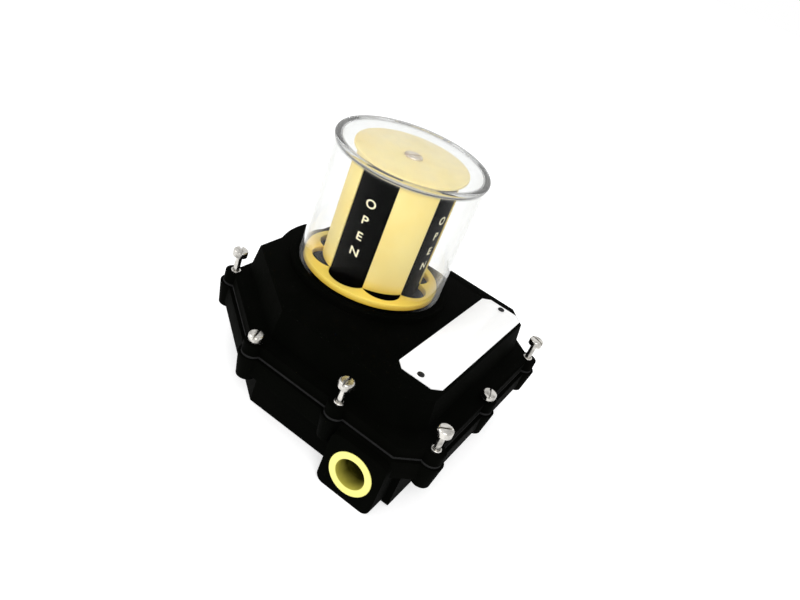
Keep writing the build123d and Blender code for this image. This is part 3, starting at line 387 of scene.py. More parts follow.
@dataclass(frozen=True)
class Rubber:
    """Dull moulded rubber."""

    name: str
    colour: Colour
    bloom: Colour
    roughness: float = 0.85
    specular: float = 0.2
    dust: Noise = Noise(420.0, 6.0)
    dust_where: Span = (0.45, 0.9)
    relief: Relief = Relief(0.05 * MM, 0.4)

    def build(self) -> bpy.types.Material:
        """Make the material: dusty bloom over a dull skin.

        Returns:
            The material.
        """
        graph = Graph(self.name)
        shader = graph.add("ShaderNodeBsdfPrincipled", Specular_IOR_Level=self.specular,
                           Roughness=self.roughness)
        dust = graph.grain(self.dust)
        tone = graph.ramp(dust, self.colour, self.bloom, self.dust_where)
        graph.join(tone, shader.inputs["Base Color"])
        graph.join(graph.bump(dust, self.relief), shader.inputs["Normal"])
        return graph.finish(shader.outputs["BSDF"])


@dataclass(frozen=True)
class ClearPlastic:
    """Clear moulded plastic, grey through its depth, hazed by handling, with painted shade in its
    thick rim.
    """

    name: str
    tint: Colour
    depth_colour: Colour
    depth_density: float
    gloss: Colour = (0.04, 0.04, 0.04)
    index: float = 1.45
    rim_z: Span = (109.5 * MM, 110.5 * MM)
    rim_radius: Span = (32.5 * MM, 33.5 * MM)
    # painted shade: the thick rim's tint turns this dark where its skin turns away
    rim_painted_shade: Colour = (0.03, 0.033, 0.036)
    rim_turned: Span = (0.35, 1.0)
    rim_where: Span = (0.15, 0.95)
    rim_haze: float = 0.10
    haze_start: float = 0.42
    haze_most: float = 0.35
    haze_colour: Colour = (0.85, 0.85, 0.84)
    streaks: Noise = Noise(95.0, 8.0, Axis.ALONG_Z)
    streak_share: Span = (-0.7, 1.7)
    rubbed: Noise = Noise(30.0, 8.0)
    rubbed_rough: Span = (0.0, 0.035)
    shade: Colour = (0.97, 0.97, 0.97)

    def rim(self, graph: Graph) -> bpy.types.NodeSocket:
        """Value that is 1 in the thick rim round the top and 0 elsewhere.

        Args:
            graph: The material's graph.

        Returns:
            The value socket.
        """
        flat = graph.add("ShaderNodeVectorMath")
        flat.operation = "MULTIPLY"
        flat.inputs[1].default_value = (1.0, 1.0, 0.0)
        graph.join(graph.place(), flat.inputs[0])
        out = graph.add("ShaderNodeVectorMath")
        out.operation = "LENGTH"
        graph.join(flat.outputs["Vector"], out.inputs[0])
        ring = graph.share(out.outputs["Value"], self.rim_radius)
        return graph.math("MULTIPLY", graph.level("Z", self.rim_z), ring)

    def turned(self, graph: Graph) -> bpy.types.NodeSocket:
        """Value that rises as the skin turns away."""
        return graph.add("ShaderNodeLayerWeight", Blend=0.5).outputs["Facing"]

    def shell(self, graph: Graph, rim: bpy.types.NodeSocket) -> bpy.types.NodeSocket:
        """Tint with painted shade: dark in the thick rim, most where its skin turns away.

        Args:
            graph: The material's graph.
            rim: Value that is 1 in the rim.

        Returns:
            The colour socket.
        """
        turned = graph.span(self.turned(graph), self.rim_turned)
        share = graph.math("MULTIPLY", turned, rim)
        return graph.ramp(share, self.tint, self.rim_painted_shade, self.rim_where)

    def haze(self, graph: Graph, rim: bpy.types.NodeSocket) -> bpy.types.NodeSocket:
        """Share of haze: streaky, and seen most where the skin turns away.

        Args:
            graph: The material's graph.
            rim: Value that is 1 in the rim, which has a haze of its own.

        Returns:
            The value socket.
        """
        turned = graph.add("ShaderNodeMapRange", From_Min=self.haze_start, To_Max=self.haze_most)
        graph.join(self.turned(graph), turned.inputs["Value"])
        streaks = graph.span(graph.grain(self.streaks), self.streak_share)
        share = graph.math("MULTIPLY", turned.outputs["Result"], streaks, clamp=True)
        return graph.math("MAXIMUM", share, graph.span(rim, (0.0, self.rim_haze)))

    def build(self) -> bpy.types.Material:
        """Make the material: clear, with handling haze; light passes it.

        Returns:
            The material.
        """
        graph = Graph(self.name)
        clear = graph.add("ShaderNodeBsdfPrincipled", Transmission_Weight=1.0, IOR=self.index,
                          Specular_Tint=(*self.gloss, 1.0))
        rim = self.rim(graph)
        graph.join(self.shell(graph, rim), clear.inputs["Base Color"])
        rough = graph.span(graph.grain(self.rubbed), self.rubbed_rough)
        graph.join(rough, clear.inputs["Roughness"])
        milky = graph.add("ShaderNodeBsdfDiffuse", Color=(*self.haze_colour, 1.0))
        skin = graph.mix(self.haze(graph, rim), clear.outputs["BSDF"], milky.outputs["BSDF"])
        through = graph.add("ShaderNodeBsdfTransparent", Color=(*self.shade, 1.0))
        shadow = graph.add("ShaderNodeLightPath").outputs["Is Shadow Ray"]
        depth = graph.add("ShaderNodeVolumeAbsorption", Color=(*self.depth_colour, 1.0),
                          Density=self.depth_density)
        graph.join(depth.outputs["Volume"], graph.output.inputs["Volume"])
        return graph.finish(graph.mix(shadow, skin, through.outputs["BSDF"]))


@dataclass(frozen=True)
class Lacquer:
    """Flat lacquer on sheet metal, as on a plate."""

    name: str
    colour: Colour
    rubbed: Colour
    specular: float = 0.35
    scuffs: Noise = Noise(160.0, 9.0, Axis.ALONG_X)
    rubbed_where: Span = (0.62, 0.8)
    rough: Span = (0.35, 0.6)
    relief: Relief = Relief(0.02 * MM, 0.2)

    def build(self) -> bpy.types.Material:
        """Make the material: even lacquer with small scuffs.

        Returns:
            The material.
        """
        graph = Graph(self.name)
        shader = graph.add("ShaderNodeBsdfPrincipled", Specular_IOR_Level=self.specular)
        scuffs = graph.grain(self.scuffs)
        tone = graph.ramp(scuffs, self.colour, self.rubbed, self.rubbed_where)
        graph.join(tone, shader.inputs["Base Color"])
        graph.join(graph.span(scuffs, self.rough), shader.inputs["Roughness"])
        graph.join(graph.bump(scuffs, self.relief), shader.inputs["Normal"])
        return graph.finish(shader.outputs["BSDF"])


@dataclass(frozen=True)
class HollowShade:
    """Painted shade on plastic, darker the further in it lies along X."""

    name: str
    near: Colour
    deep: Colour
    depth_x: Span
    roughness: float = 0.7
    specular: float = 0.05
    clouds: Noise = Noise(240.0, 5.0)
    cloud_share: Span = (-0.25, 0.25)

    def build(self) -> bpy.types.Material:
        """Make the material: brown painted shade in a hollow, over cloudy patches.

        Returns:
            The material.
        """
        graph = Graph(self.name)
        shader = graph.add("ShaderNodeBsdfPrincipled", Specular_IOR_Level=self.specular,
                           Roughness=self.roughness)
        clouds = graph.span(graph.grain(self.clouds), self.cloud_share)
        share = graph.math("ADD", graph.level("X", self.depth_x), clouds, clamp=True)
        graph.join(graph.ramp(share, self.near, self.deep, (0.0, 1.0)),
                   shader.inputs["Base Color"])
        return graph.finish(shader.outputs["BSDF"])


SLOT_FINISHES = {
    "black_paint": Coating("cast_black", (0.0007, 0.0009, 0.0005), (0.0018, 0.0018, 0.0014),
                           0.74, 0.012),
    "gasket": Rubber("gasket_rubber", (0.010, 0.010, 0.010), (0.022, 0.022, 0.022)),
    # stainless: its dark second tone is dulling and painted reflection of dark surroundings
    "stainless": Metal("stainless", (0.66, 0.64, 0.60), (0.10, 0.095, 0.085), 0.2),
    "plate": Lacquer("plate_white", (0.97, 0.97, 0.965), (0.82, 0.82, 0.81)),
    "pin_black": Coating("pin_black", (0.008, 0.008, 0.008), (0.03, 0.03, 0.03),
                         skin=Noise(3000.0, 3.0)),
    "lemon_plastic": Plastic("lemon_plastic", (0.90, 0.86, 0.25), (0.80, 0.74, 0.18), 0.38),
    "bronze": Metal("bronze", (0.55, 0.38, 0.18), (0.36, 0.24, 0.12), 0.45),
    "dark_nylon": Plastic("dark_nylon", (0.012, 0.012, 0.013), (0.02, 0.02, 0.02), 0.45),
    "clear": ClearPlastic("clear_dome", (0.985, 0.99, 0.985), (0.20, 0.22, 0.22), 60.0),
    # beacon_yellow: the gold and amber towards the foot are painted shade
    "beacon_yellow": YellowMoulding("beacon_yellow", (1.0, 0.81, 0.32), (1.0, 0.74, 0.14),
                                    (0.80, 0.48, 0.03)),
    "drum_black": Plastic("drum_black", (0.0009, 0.0009, 0.0009), (0.002, 0.002, 0.002),
                          0.55, 0.02),
    "cam_plastic": Plastic("cam_ivory", (0.72, 0.70, 0.60), (0.62, 0.58, 0.46), 0.4),
    "switch_black": Plastic("switch_black", (0.02, 0.02, 0.022), (0.035, 0.035, 0.035), 0.5),
    "switch_button": Plastic("switch_red", (0.55, 0.05, 0.03), (0.45, 0.04, 0.03), 0.3),
    "brass": Metal("brass", (0.78, 0.58, 0.26), (0.52, 0.38, 0.17), 0.32),
    "sheet": Plastic("insulating_sheet", (0.55, 0.42, 0.22), (0.48, 0.36, 0.18), 0.6),
    "strip_black": Plastic("strip_black", (0.014, 0.014, 0.015), (0.03, 0.03, 0.03), 0.4),
}
MATERIALS = {slot: finish.build() for slot, finish in SLOT_FINISHES.items()}
# painted shade inside the plug's cup, darkest deepest in along X
PLUG_PAINTED_SHADE = HollowShade("plug_painted_shade", (0.42, 0.38, 0.06), (0.03, 0.027, 0.001),
                   (-76.8 * MM, -69.5 * MM)).build()
SCREW_WORN = Metal("worn_screw", (0.93, 0.84, 0.72), (0.50, 0.34, 0.20), 0.3).build()
LETTER_YELLOW = Plastic("letter_yellow", (1.0, 0.95, 0.68), (0.97, 0.90, 0.58), 0.5).build()
LETTER_BLACK = Plastic("letter_black", (0.008, 0.008, 0.008), (0.015, 0.015, 0.015), 0.5).build()
PANEL_YELLOW = Plastic("panel_yellow", (0.93, 0.70, 0.24), (0.88, 0.62, 0.18), 0.5).build()


# ---------------------------------------------------------------- mesh tools
JOIN_WITHIN = 0.01 * MM
OUTLINE_JOIN_WITHIN = 0.002 * MM
ON_AXIS = 0.0001 * MM
FLAT_WITHIN = math.radians(1.0)
SMOOTH_BELOW = 32.0
SOFT_SMOOTH_BELOW = 40.0
SOFTEN_ABOVE = 35.0


def new_piece(name: str, mesh: bmesh.types.BMesh,
              material: bpy.types.Material) -> bpy.types.Object:
    """Make an object from a bmesh, smooth with sharp corners kept.

    Args:
        name: Name of the piece.
        mesh: The bmesh, freed here.
        material: Its material.

    Returns:
        The new object.
    """
    bmesh.ops.recalc_face_normals(mesh, faces=mesh.faces)
    data = bpy.data.meshes.new(name)
    mesh.to_mesh(data)
    mesh.free()
    data.materials.append(material)
    piece = bpy.data.objects.new(name, data)
    bpy.context.scene.collection.objects.link(piece)
    smooth(piece)
    return piece


def smooth(piece: bpy.types.Object, angle: float = SMOOTH_BELOW) -> None:
    """Shade smooth, with edges sharper than an angle kept.

    Args:
        piece: Object to shade.
        angle: Largest smooth angle, in degrees.
    """
    piece.data.shade_smooth()
    piece.data.set_sharp_from_angle(angle=math.radians(angle))


def apply_modifiers(piece: bpy.types.Object) -> None:
    """Replace the mesh by its modified form and drop the modifiers.

    Args:
        piece: Object with modifiers.
    """
    graph = bpy.context.evaluated_depsgraph_get()
    solid = bpy.data.meshes.new_from_object(piece.evaluated_get(graph))
    piece.modifiers.clear()
    piece.data = solid


def soften(piece: bpy.types.Object, width: float, segments: int = 2) -> None:
    """Round the sharp edges of a piece.

    Args:
        piece: Object to soften.
        width: Width of the rounding, in metres.
        segments: Steps across the rounding.
    """
    bevel = piece.modifiers.new("soften", "BEVEL")
    bevel.width = width
    bevel.segments = segments
    bevel.limit_method = "ANGLE"
    bevel.angle_limit = math.radians(SOFTEN_ABOVE)
    bevel.use_clamp_overlap = True
    bevel.harden_normals = False
    apply_modifiers(piece)
    smooth(piece, SOFT_SMOOTH_BELOW)


def softened_copy(node: str, width: float, segments: int = 2) -> bpy.types.Object:
    """Copy a CAD node with rounded edges and let it stand for the node.

    Args:
        node: Name of the CAD node.
        width: Width of the rounding, in metres.
        segments: Steps across the rounding.

    Returns:
        The new object, in the node's place.
    """
    source = frame["nodes"][node]
    mesh = bmesh.new()
    mesh.from_mesh(source.data)
    bmesh.ops.remove_doubles(mesh, verts=mesh.verts, dist=JOIN_WITHIN)
    bmesh.ops.dissolve_limit(mesh, angle_limit=FLAT_WITHIN, verts=mesh.verts, edges=mesh.edges)
    piece = new_piece(node + "_form", mesh, MATERIALS[slot_of(node)])
    soften(piece, width, segments)
    stand_for(piece, node)
    return piece


def slot_of(node: str) -> str:
    """Material slot of a CAD node.

    Args:
        node: Name of the CAD node.

    Returns:
        The slot's name.
    """
    for entry in frame["record"]["subparts"]:
        if entry["node"] == node:
            return entry["material_slot"]
    raise KeyError(node)


def body_of(node: str) -> str:
    """CAD body that holds a node.

    Args:
        node: Name of the CAD node.

    Returns:
        The body's name.
    """
    for body, nodes in frame["record"]["behaviour"]["bodies"].items():
        if node in nodes:
            return body
    raise KeyError(node)


def stand_for(piece: bpy.types.Object, node: str) -> None:
    """Put a piece in a CAD node's place, on its body."""
    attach(piece, body_of(node))
    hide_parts(node)


def place_angle(number: int) -> float:
    """Middle of one of the eight places round the beacon, in degrees."""
    return FIRST_PLACE + 360.0 / PLACES * number


def circle(radius: float, steps: int) -> list[Point]:
    """Flat circle about the origin as a list of points."""
    turn = 2.0 * math.pi / steps
    return [(radius * math.cos(turn * k), radius * math.sin(turn * k)) for k in range(steps)]


def lathe(profile: Sequence[Point], steps: int, closed: bool) -> bmesh.types.BMesh:
    """Turn a profile about the Z axis.

    Args:
        profile: Radius and height pairs, in metres.
        steps: Number of steps round the axis.
        closed: Whether the profile's last point joins its first.

    Returns:
        The turned bmesh. A radius of 0 becomes one vertex.
    """
    mesh = bmesh.new()
    rows = []
    for radius, height in profile:
        if radius < ON_AXIS:
            rows.append([mesh.verts.new((0.0, 0.0, height))])
        else:
            rows.append([mesh.verts.new((x, y, height)) for x, y in circle(radius, steps)])
    pairs = list(zip(rows, rows[1:]))
    if closed:
        pairs.append((rows[-1], rows[0]))
    for low, high in pairs:
        for k in range(steps):
            corners = [low[k % len(low)], low[(k + 1) % len(low)],
                       high[(k + 1) % len(high)], high[k % len(high)]]
            unique = list(dict.fromkeys(corners))
            if len(unique) > 2:
                mesh.faces.new(unique)
    return mesh


def corner_arc(centre: Point, radius: float, start: float, end: float,
               steps: int) -> list[Point]:
    """Points of a rounded corner of a profile.

    Args:
        centre: Middle of the rounding.
        radius: Its radius.
        start: First angle, in degrees.
        end: Last angle, in degrees.
        steps: Number of steps.

    Returns:
        The points, in order.
    """
    points = []
    for k in range(steps + 1):
        angle = math.radians(start + (end - start) * k / steps)
        points.append((centre[0] + radius * math.cos(angle),
                       centre[1] + radius * math.sin(angle)))
    return points


def mesh_of(name: str, curve: bpy.types.Curve) -> bmesh.types.BMesh:
    """Turn a curve or text into a bmesh and drop its holder.

    Args:
        name: Name of the holder.
        curve: The curve's data.

    Returns:
        The bmesh.
    """
    holder = bpy.data.objects.new(name, curve)
    bpy.context.scene.collection.objects.link(holder)
    graph = bpy.context.evaluated_depsgraph_get()
    data = bpy.data.meshes.new_from_object(holder.evaluated_get(graph))
    bpy.data.objects.remove(holder)
    mesh = bmesh.new()
    mesh.from_mesh(data)
    return mesh


def flat_piece(name: str, loops: Iterable[Sequence[Point]], low: float, high: float,
               edge: float, material: bpy.types.Material) -> bpy.types.Object:
    """Flat plate with holes and rounded edges.

    Args:
        name: Name of the piece.
        loops: Outer outline first, then the holes.
        low: Underside level.
        high: Upper level.
        edge: Rounding of the edges.
        material: Its material.

    Returns:
        The new object, a mesh.
    """
    curve = bpy.data.curves.new(name, "CURVE")
    curve.dimensions = "2D"
    curve.fill_mode = "BOTH"
    curve.extrude = (high - low) / 2.0 - edge
    curve.bevel_depth = edge
    curve.bevel_resolution = 2
    curve.offset = -edge
    for loop in loops:
        spline = curve.splines.new("POLY")
        spline.points.add(len(loop) - 1)
        for point, (x, y) in zip(spline.points, loop):
            point.co = (x, y, 0.0, 1.0)
        spline.use_cyclic_u = True
    mesh = mesh_of(name + "_curve", curve)
    bmesh.ops.translate(mesh, verts=mesh.verts, vec=(0.0, 0.0, (low + high) / 2.0))
    bmesh.ops.remove_doubles(mesh, verts=mesh.verts, dist=OUTLINE_JOIN_WITHIN)
    return new_piece(name, mesh, material)


def merge(name: str, pieces: Sequence[bpy.types.Object]) -> bpy.types.Object:
    """Make one piece of several that share a material.

    Args:
        name: Name of the result.
        pieces: Pieces to merge; all but the result are removed.

    Returns:
        The merged object.
    """
    mesh = bmesh.new()
    for piece in pieces:
        mesh.from_mesh(piece.data)
    material = pieces[0].data.materials[0]
    for piece in pieces:
        bpy.data.objects.remove(piece)
    return new_piece(name, mesh, material)


def arc_block(inner: float, outer: float, middle: float, width: float, low: float,
              high: float, steps: int = 20) -> bmesh.types.BMesh:
    """Upright curved block about the Z axis.

    Args:
        inner: Inner radius.
        outer: Outer radius.
        middle: Angle of its middle, in degrees.
        width: Angle it covers, in degrees.
        low: Underside level.
        high: Upper level.
        steps: Steps round the arc.

    Returns:
        The closed bmesh.
    """
    mesh = bmesh.new()
    columns = []
    for k in range(steps + 1):
        angle = math.radians(middle + width * (k / steps - 0.5))
        along = Vector((math.cos(angle), math.sin(angle), 0.0))
        corners = [along * inner, along * outer, along * outer, along * inner]
        heights = (low, low, high, high)
        columns.append([mesh.verts.new((c.x, c.y, h)) for c, h in zip(corners, heights)])
    for left, right in zip(columns, columns[1:]):
        for k in range(4):
            mesh.faces.new((left[k], left[(k + 1) % 4], right[(k + 1) % 4], right[k]))
    mesh.faces.new(columns[0])
    mesh.faces.new(list(reversed(columns[-1])))
    return mesh


# ---------------------------------------------------------------- sub-assemblies
@dataclass
class Enclosure:
    """Cast housing and cover with the gasket between them."""

    edge: float = 0.8 * MM
    steps: int = 3

    def build(self) -> list[bpy.types.Object]:
        """Round the castings' edges.

        Returns:
            The new pieces.
        """
        return [softened_copy(node, self.edge, self.steps) for node in ("housing", "cover")]


@dataclass
class Dome:
    """Clear flat-topped dome, turned with a fine smooth wall."""

    radius: float = 35.0 * MM
    wall: float = 2.0 * MM
    flange_radius: float = 38.0 * MM
    flange: float = 2.5 * MM
    bead: float = 0.8 * MM
    bead_height: float = 2.8 * MM
    edge: float = 1.3 * MM
    edge_steps: int = 10
    inner_edge: float = 1.0 * MM
    inner_edge_steps: int = 8
    flare_steps: int = 9
    steps: int = 192

    def flare(self, high: float) -> list[Point]:
        """Outer wall where it swells smoothly into the bead round its top.

        Args:
            high: Level of the dome's top.

        Returns:
            The points, going up.
        """
        start = high - self.bead_height
        rise = self.bead_height - self.edge
        points = []
        for k in range(self.flare_steps):
            share = k / self.flare_steps
            swell = share * share * (3.0 - 2.0 * share)
            points.append((self.radius + self.bead * swell, start + rise * share))
        return points

    def build(self) -> list[bpy.types.Object]:
        """Turn the dome between the levels of its CAD node.

        Returns:
            The new pieces.
        """
        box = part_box("dome")
        low, high = box[0][2], box[1][2]
        inner = self.radius - self.wall
        top = high - self.wall
        profile = [(inner, low), (self.flange_radius, low)]
        profile += [(self.flange_radius, low + self.flange), (self.radius, low + self.flange)]
        profile += self.flare(high)
        rim = self.radius + self.bead - self.edge
        profile += corner_arc((rim, high - self.edge), self.edge, 0.0, 90.0, self.edge_steps)
        profile += [(0.0, high), (0.0, top)]
        turn = (inner - self.inner_edge, top - self.inner_edge)
        profile += corner_arc(turn, self.inner_edge, 90.0, 0.0, self.inner_edge_steps)
        mesh = lathe(profile, self.steps, closed=True)
        piece = new_piece("dome_shell", mesh, MATERIALS["clear"])
        stand_for(piece, "dome")
        return [piece]


@dataclass
class Mask:
    """Fixed yellow mask: scalloped ring, blank panels and cap."""

    ring_radius: float = 32.3 * MM
    ring_low: float = 52.0 * MM
    ring_high: float = 55.0 * MM
    ring_edge: float = 0.3 * MM
    ring_steps: int = 160
    outer: float = 23.95 * MM
    inner: float = 23.35 * MM
    panel_low: float = 54.8 * MM
    panel_edge: float = 0.15 * MM
    top: float = 108.4 * MM
    cap_radius: float = 26.6 * MM
    cap: float = 1.6 * MM
    cap_hole: float = 2.15 * MM
    cap_edge: float = 0.4 * MM
    cap_edge_steps: int = 4
    cap_steps: int = 144
    recess_radius: float = 4.3 * MM
    recess: float = 1.2 * MM
    scallop_pitch: float = 19.55 * MM
    scallop_radius: float = 9.45 * MM
    scallop_steps: int = 14

    def scalloped(self) -> list[Point]:
        """Inner outline of the ring: one round bite for each panel.

        Returns:
            The outline's points.
        """
        half = math.pi / PLACES
        reach = self.scallop_pitch * math.cos(half)
        aside = self.scallop_pitch * math.sin(half)
        cusp = reach + math.sqrt(self.scallop_radius**2 - aside**2)
        bite = math.atan2(cusp * math.sin(half), cusp * math.cos(half) - self.scallop_pitch)
        points = []
        for k in range(PLACES):
            middle = 2.0 * half * k
            for j in range(self.scallop_steps):
                angle = -bite + 2.0 * bite * j / self.scallop_steps
                x = self.scallop_pitch + self.scallop_radius * math.cos(angle)
                y = self.scallop_radius * math.sin(angle)
                points.append((x * math.cos(middle) - y * math.sin(middle),
                               x * math.sin(middle) + y * math.cos(middle)))
        return points

    def panel(self, middle: float) -> bpy.types.Object:
        """One upright blank panel.

        Args:
            middle: Angle of its middle, in degrees.

        Returns:
            The new object.
        """
        mesh = arc_block(self.inner, self.outer, middle, 360.0 / PLACES, self.panel_low, self.top)
        piece = new_piece("mask_panel", mesh, MATERIALS["beacon_yellow"])
        soften(piece, self.panel_edge)
        return piece

    def cap_profile(self) -> list[Point]:
        """Section of the cap, with a recess for the head of its screw.

        Returns:
            The points of the closed section.
        """
        high = self.top + self.cap
        edge = self.cap_edge
        rim = self.cap_radius - edge
        profile = [(self.cap_hole, self.top)]
        profile += corner_arc((rim, self.top + edge), edge, -90.0, 0.0, self.cap_edge_steps)
        profile += corner_arc((rim, high - edge), edge, 0.0, 90.0, self.cap_edge_steps)
        profile += [(self.recess_radius, high), (self.recess_radius, high - self.recess)]
        return profile + [(self.cap_hole, high - self.recess)]

    def build(self) -> list[bpy.types.Object]:
        """Build the ring, the panels and the cap as one moulding.

        Returns:
            The new pieces.
        """
        yellow = MATERIALS["beacon_yellow"]
        loops = [circle(self.ring_radius, self.ring_steps), self.scalloped()]
        parts = [flat_piece("mask_ring", loops, self.ring_low, self.ring_high, self.ring_edge,
                            yellow)]
        parts += [self.panel(place_angle(k)) for k in range(1, PLACES, 2)]
        cap = lathe(self.cap_profile(), self.cap_steps, closed=True)
        parts.append(new_piece("mask_cap", cap, yellow))
        piece = merge("beacon_mask_form", parts)
        stand_for(piece, "beacon_mask")
        return [piece]


@dataclass
class Drum:
    """Black indicator drum with stacked words."""

    radius: float = 23.2 * MM
    low: float = 50.8 * MM
    high: float = 107.9 * MM
    bore: float = 3.06 * MM
    edge: float = 0.3 * MM
    steps: int = 160
    patch: float = 0.08 * MM
    patch_sunk: float = 0.05 * MM
    ground_low: float = 57.0 * MM
    ground_gap: float = 0.5 * MM
    ground_width: float = 44.0
    letter_height: float = 3.9 * MM
    capital_share: float = 0.7
    letter_pitch: float = 8.1 * MM
    first_letter: float = 93.8 * MM
    stretch: float = 1.15
    weight: float = 0.08 * MM
    raised: float = 0.03 * MM
    letter_cuts: int = 9

    def patches(self) -> bpy.types.Object:
        """Yellow grounds of the second word, hidden at rest.

        Returns:
            The new object.
        """
        parts = []
        for k in range(1, PLACES, 2):
            mesh = arc_block(self.radius - self.patch_sunk, self.radius + self.patch,
                             place_angle(k), self.ground_width, self.ground_low,
                             self.high - self.ground_gap)
            parts.append(new_piece("ground", mesh, PANEL_YELLOW))
        return merge("drum_yellow_grounds", parts)

    def letter(self, text: str, angle: float, height: float, seat: float,
               material: bpy.types.Material) -> bpy.types.Object:
        """One letter wrapped round the drum.

        Args:
            text: The letter.
            angle: Where it stands round the drum, in degrees.
            height: Level of its middle.
            seat: Radius that it lies on.
            material: Its material.

        Returns:
            The new object.
        """
        curve = bpy.data.curves.new("letter", "FONT")
        curve.body = text
        curve.size = self.letter_height / self.capital_share
        curve.align_x = "CENTER"
        curve.align_y = "CENTER"
        curve.offset = self.weight
        curve.extrude = self.raised / 2.0
        mesh = mesh_of("letter_curve", curve)
        lows = [min(v.co[i] for v in mesh.verts) for i in (0, 1)]
        highs = [max(v.co[i] for v in mesh.verts) for i in (0, 1)]
        middle = [(a + b) / 2.0 for a, b in zip(lows, highs)]
        for k in range(1, self.letter_cuts):
            across = lows[0] + (highs[0] - lows[0]) * k / self.letter_cuts
            whole = mesh.verts[:] + mesh.edges[:] + mesh.faces[:]
            bmesh.ops.bisect_plane(mesh, geom=whole, plane_co=(across, 0.0, 0.0),
                                   plane_no=(1.0, 0.0, 0.0))
        for vert in mesh.verts:
            across = (vert.co.x - middle[0]) * self.stretch
            turn = math.radians(angle) + across / seat
            out = seat + vert.co.z + self.raised / 2.0
            level = height + vert.co.y - middle[1]
            vert.co = (out * math.cos(turn), out * math.sin(turn), level)
        return new_piece("letter", mesh, material)

    def word(self, word: Word, first: int, seat: float,
             material: bpy.types.Material) -> bpy.types.Object:
        """A stacked word on every other panel.

        Args:
            word: The word.
            first: Number of its first panel.
            seat: Radius that the letters lie on.
            material: Their material.

        Returns:
            The new object.
        """
        letters = []
        for k in range(first, PLACES, 2):
            for place, text in enumerate(word.value):
                level = self.first_letter - place * self.letter_pitch
                letters.append(self.letter(text, place_angle(k), level, seat, material))
        return merge("word_" + word.name.lower(), letters)

    def build(self) -> list[bpy.types.Object]:
        """Build the drum's skin, grounds and words.

        Returns:
            The new pieces.
        """
        profile = [(self.bore, self.low), (self.radius, self.low), (self.radius, self.high),
                   (self.bore, self.high)]
        mesh = lathe(profile, self.steps, closed=True)
        drum = new_piece("drum_form", mesh, MATERIALS["drum_black"])
        soften(drum, self.edge)
        stand_for(drum, "indicator_drum")
        grounds = self.patches()
        shown = self.word(Word.OPEN, 0, self.radius, LETTER_YELLOW)
        hidden = self.word(Word.SHUT, 1, self.radius + self.patch, LETTER_BLACK)
        for piece in (grounds, shown, hidden):
            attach(piece, "drum")
        return [drum, grounds, shown, hidden]


@dataclass
class Plug:
    """Hollow plug in the conduit entry."""

    steps: int = 96
    radius: float = 10.1 * MM
    cup: float = 6.95 * MM
    cup_taper: float = 0.5 * MM
    floor: float = 1.6 * MM
    floor_rise: float = 1.0 * MM
    floor_run: float = 1.0 * MM
    edge: float = 0.5 * MM
    edge_steps: int = 4

    def build(self) -> list[bpy.types.Object]:
        """Turn the plug and lay it along X in the entry.

        Returns:
            The new pieces.
        """
        low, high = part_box("conduit_plug")
        length = high[0] - low[0]
        lip = length - self.edge
        foot = self.cup - self.cup_taper
        profile = [(0.0, 0.0), (self.radius - self.edge, 0.0)]
        profile += corner_arc((self.radius - self.edge, lip), self.edge, 0.0, 90.0,
                              self.edge_steps)
        profile += corner_arc((self.cup + self.edge, lip), self.edge, 90.0, 180.0,
                              self.edge_steps)
        profile += [(foot, self.floor + self.floor_rise), (foot - self.floor_run, self.floor)]
        profile += [(0.0, self.floor)]
        mesh = lathe(profile, self.steps, closed=False)
        place = Vector((high[0], (low[1] + high[1]) / 2.0, (low[2] + high[2]) / 2.0))
        turn = Matrix.Translation(place) @ Matrix.Rotation(math.radians(-90.0), 4, "Y")
        bmesh.ops.transform(mesh, matrix=turn, verts=mesh.verts)
        piece = new_piece("plug_form", mesh, MATERIALS["lemon_plastic"])
        self.paint_hollow_shade(piece, place, high[0] - length + self.edge)
        stand_for(piece, "conduit_plug")
        return [piece]

    def paint_hollow_shade(self, piece: bpy.types.Object, middle: Vector, mouth: float) -> None:
        """Give the faces inside the cup painted shade.

        Args:
            piece: The plug.
            middle: A point on its axis.
            mouth: Level along X where the cup's mouth ends.
        """
        # painted shade: the faces inside the cup take the darkening material
        piece.data.materials.append(PLUG_PAINTED_SHADE)
        for face in piece.data.polygons:
            out = (face.center - middle) * Vector((0.0, 1.0, 1.0))
            if face.center.x > mouth and out.length < self.cup + self.edge:
                face.material_index = 1


@dataclass
class Plate:
    """Bare nameplate with clipped corners."""

    edge: float = 0.12 * MM
    pin_edge: float = 0.25 * MM

    def build(self) -> list[bpy.types.Object]:
        """Soften the plate and its pins.

        Returns:
            The new pieces.
        """
        return [softened_copy("nameplate", self.edge),
                softened_copy("nameplate_pins", self.pin_edge)]


@dataclass
class Screws:
    """Captive cover screws and the beacon screw."""

    edge: float = 0.25 * MM

    def build(self) -> list[bpy.types.Object]:
        """Soften the heads and shanks.

        Returns:
            The new pieces.
        """
        names = [n for n in frame["nodes"] if n.startswith("cover_screw")]
        names += ["beacon_screw", "retaining_rings"]
        pieces = [softened_copy(name, self.edge) for name in sorted(names)]
        worn = next(piece for piece in pieces if piece.name.startswith("beacon_screw"))
        worn.data.materials[0] = SCREW_WORN
        return pieces


def seen_or_mirrored(tree: bpy.types.NodeTree) -> bpy.types.NodeSocket:
    """Value that is 1 for a ray that is seen, mirrored or passed through glass.

    Args:
        tree: Node tree to add the nodes to.

    Returns:
        The value socket.
    """
    path = tree.nodes.new("ShaderNodeLightPath")
    value = path.outputs["Is Camera Ray"]
    for name in ("Is Glossy Ray", "Is Transmission Ray"):
        either = tree.nodes.new("ShaderNodeMath")
        either.operation = "MAXIMUM"
        tree.links.new(value, either.inputs[0])
        tree.links.new(path.outputs[name], either.inputs[1])
        value = either.outputs["Value"]
    return value


@dataclass(frozen=True)
class Lamp:
    """Soft square lamp: name, place in metres, side and power in watts."""

    name: str
    place: tuple[float, float, float]
    size: float
    power: float


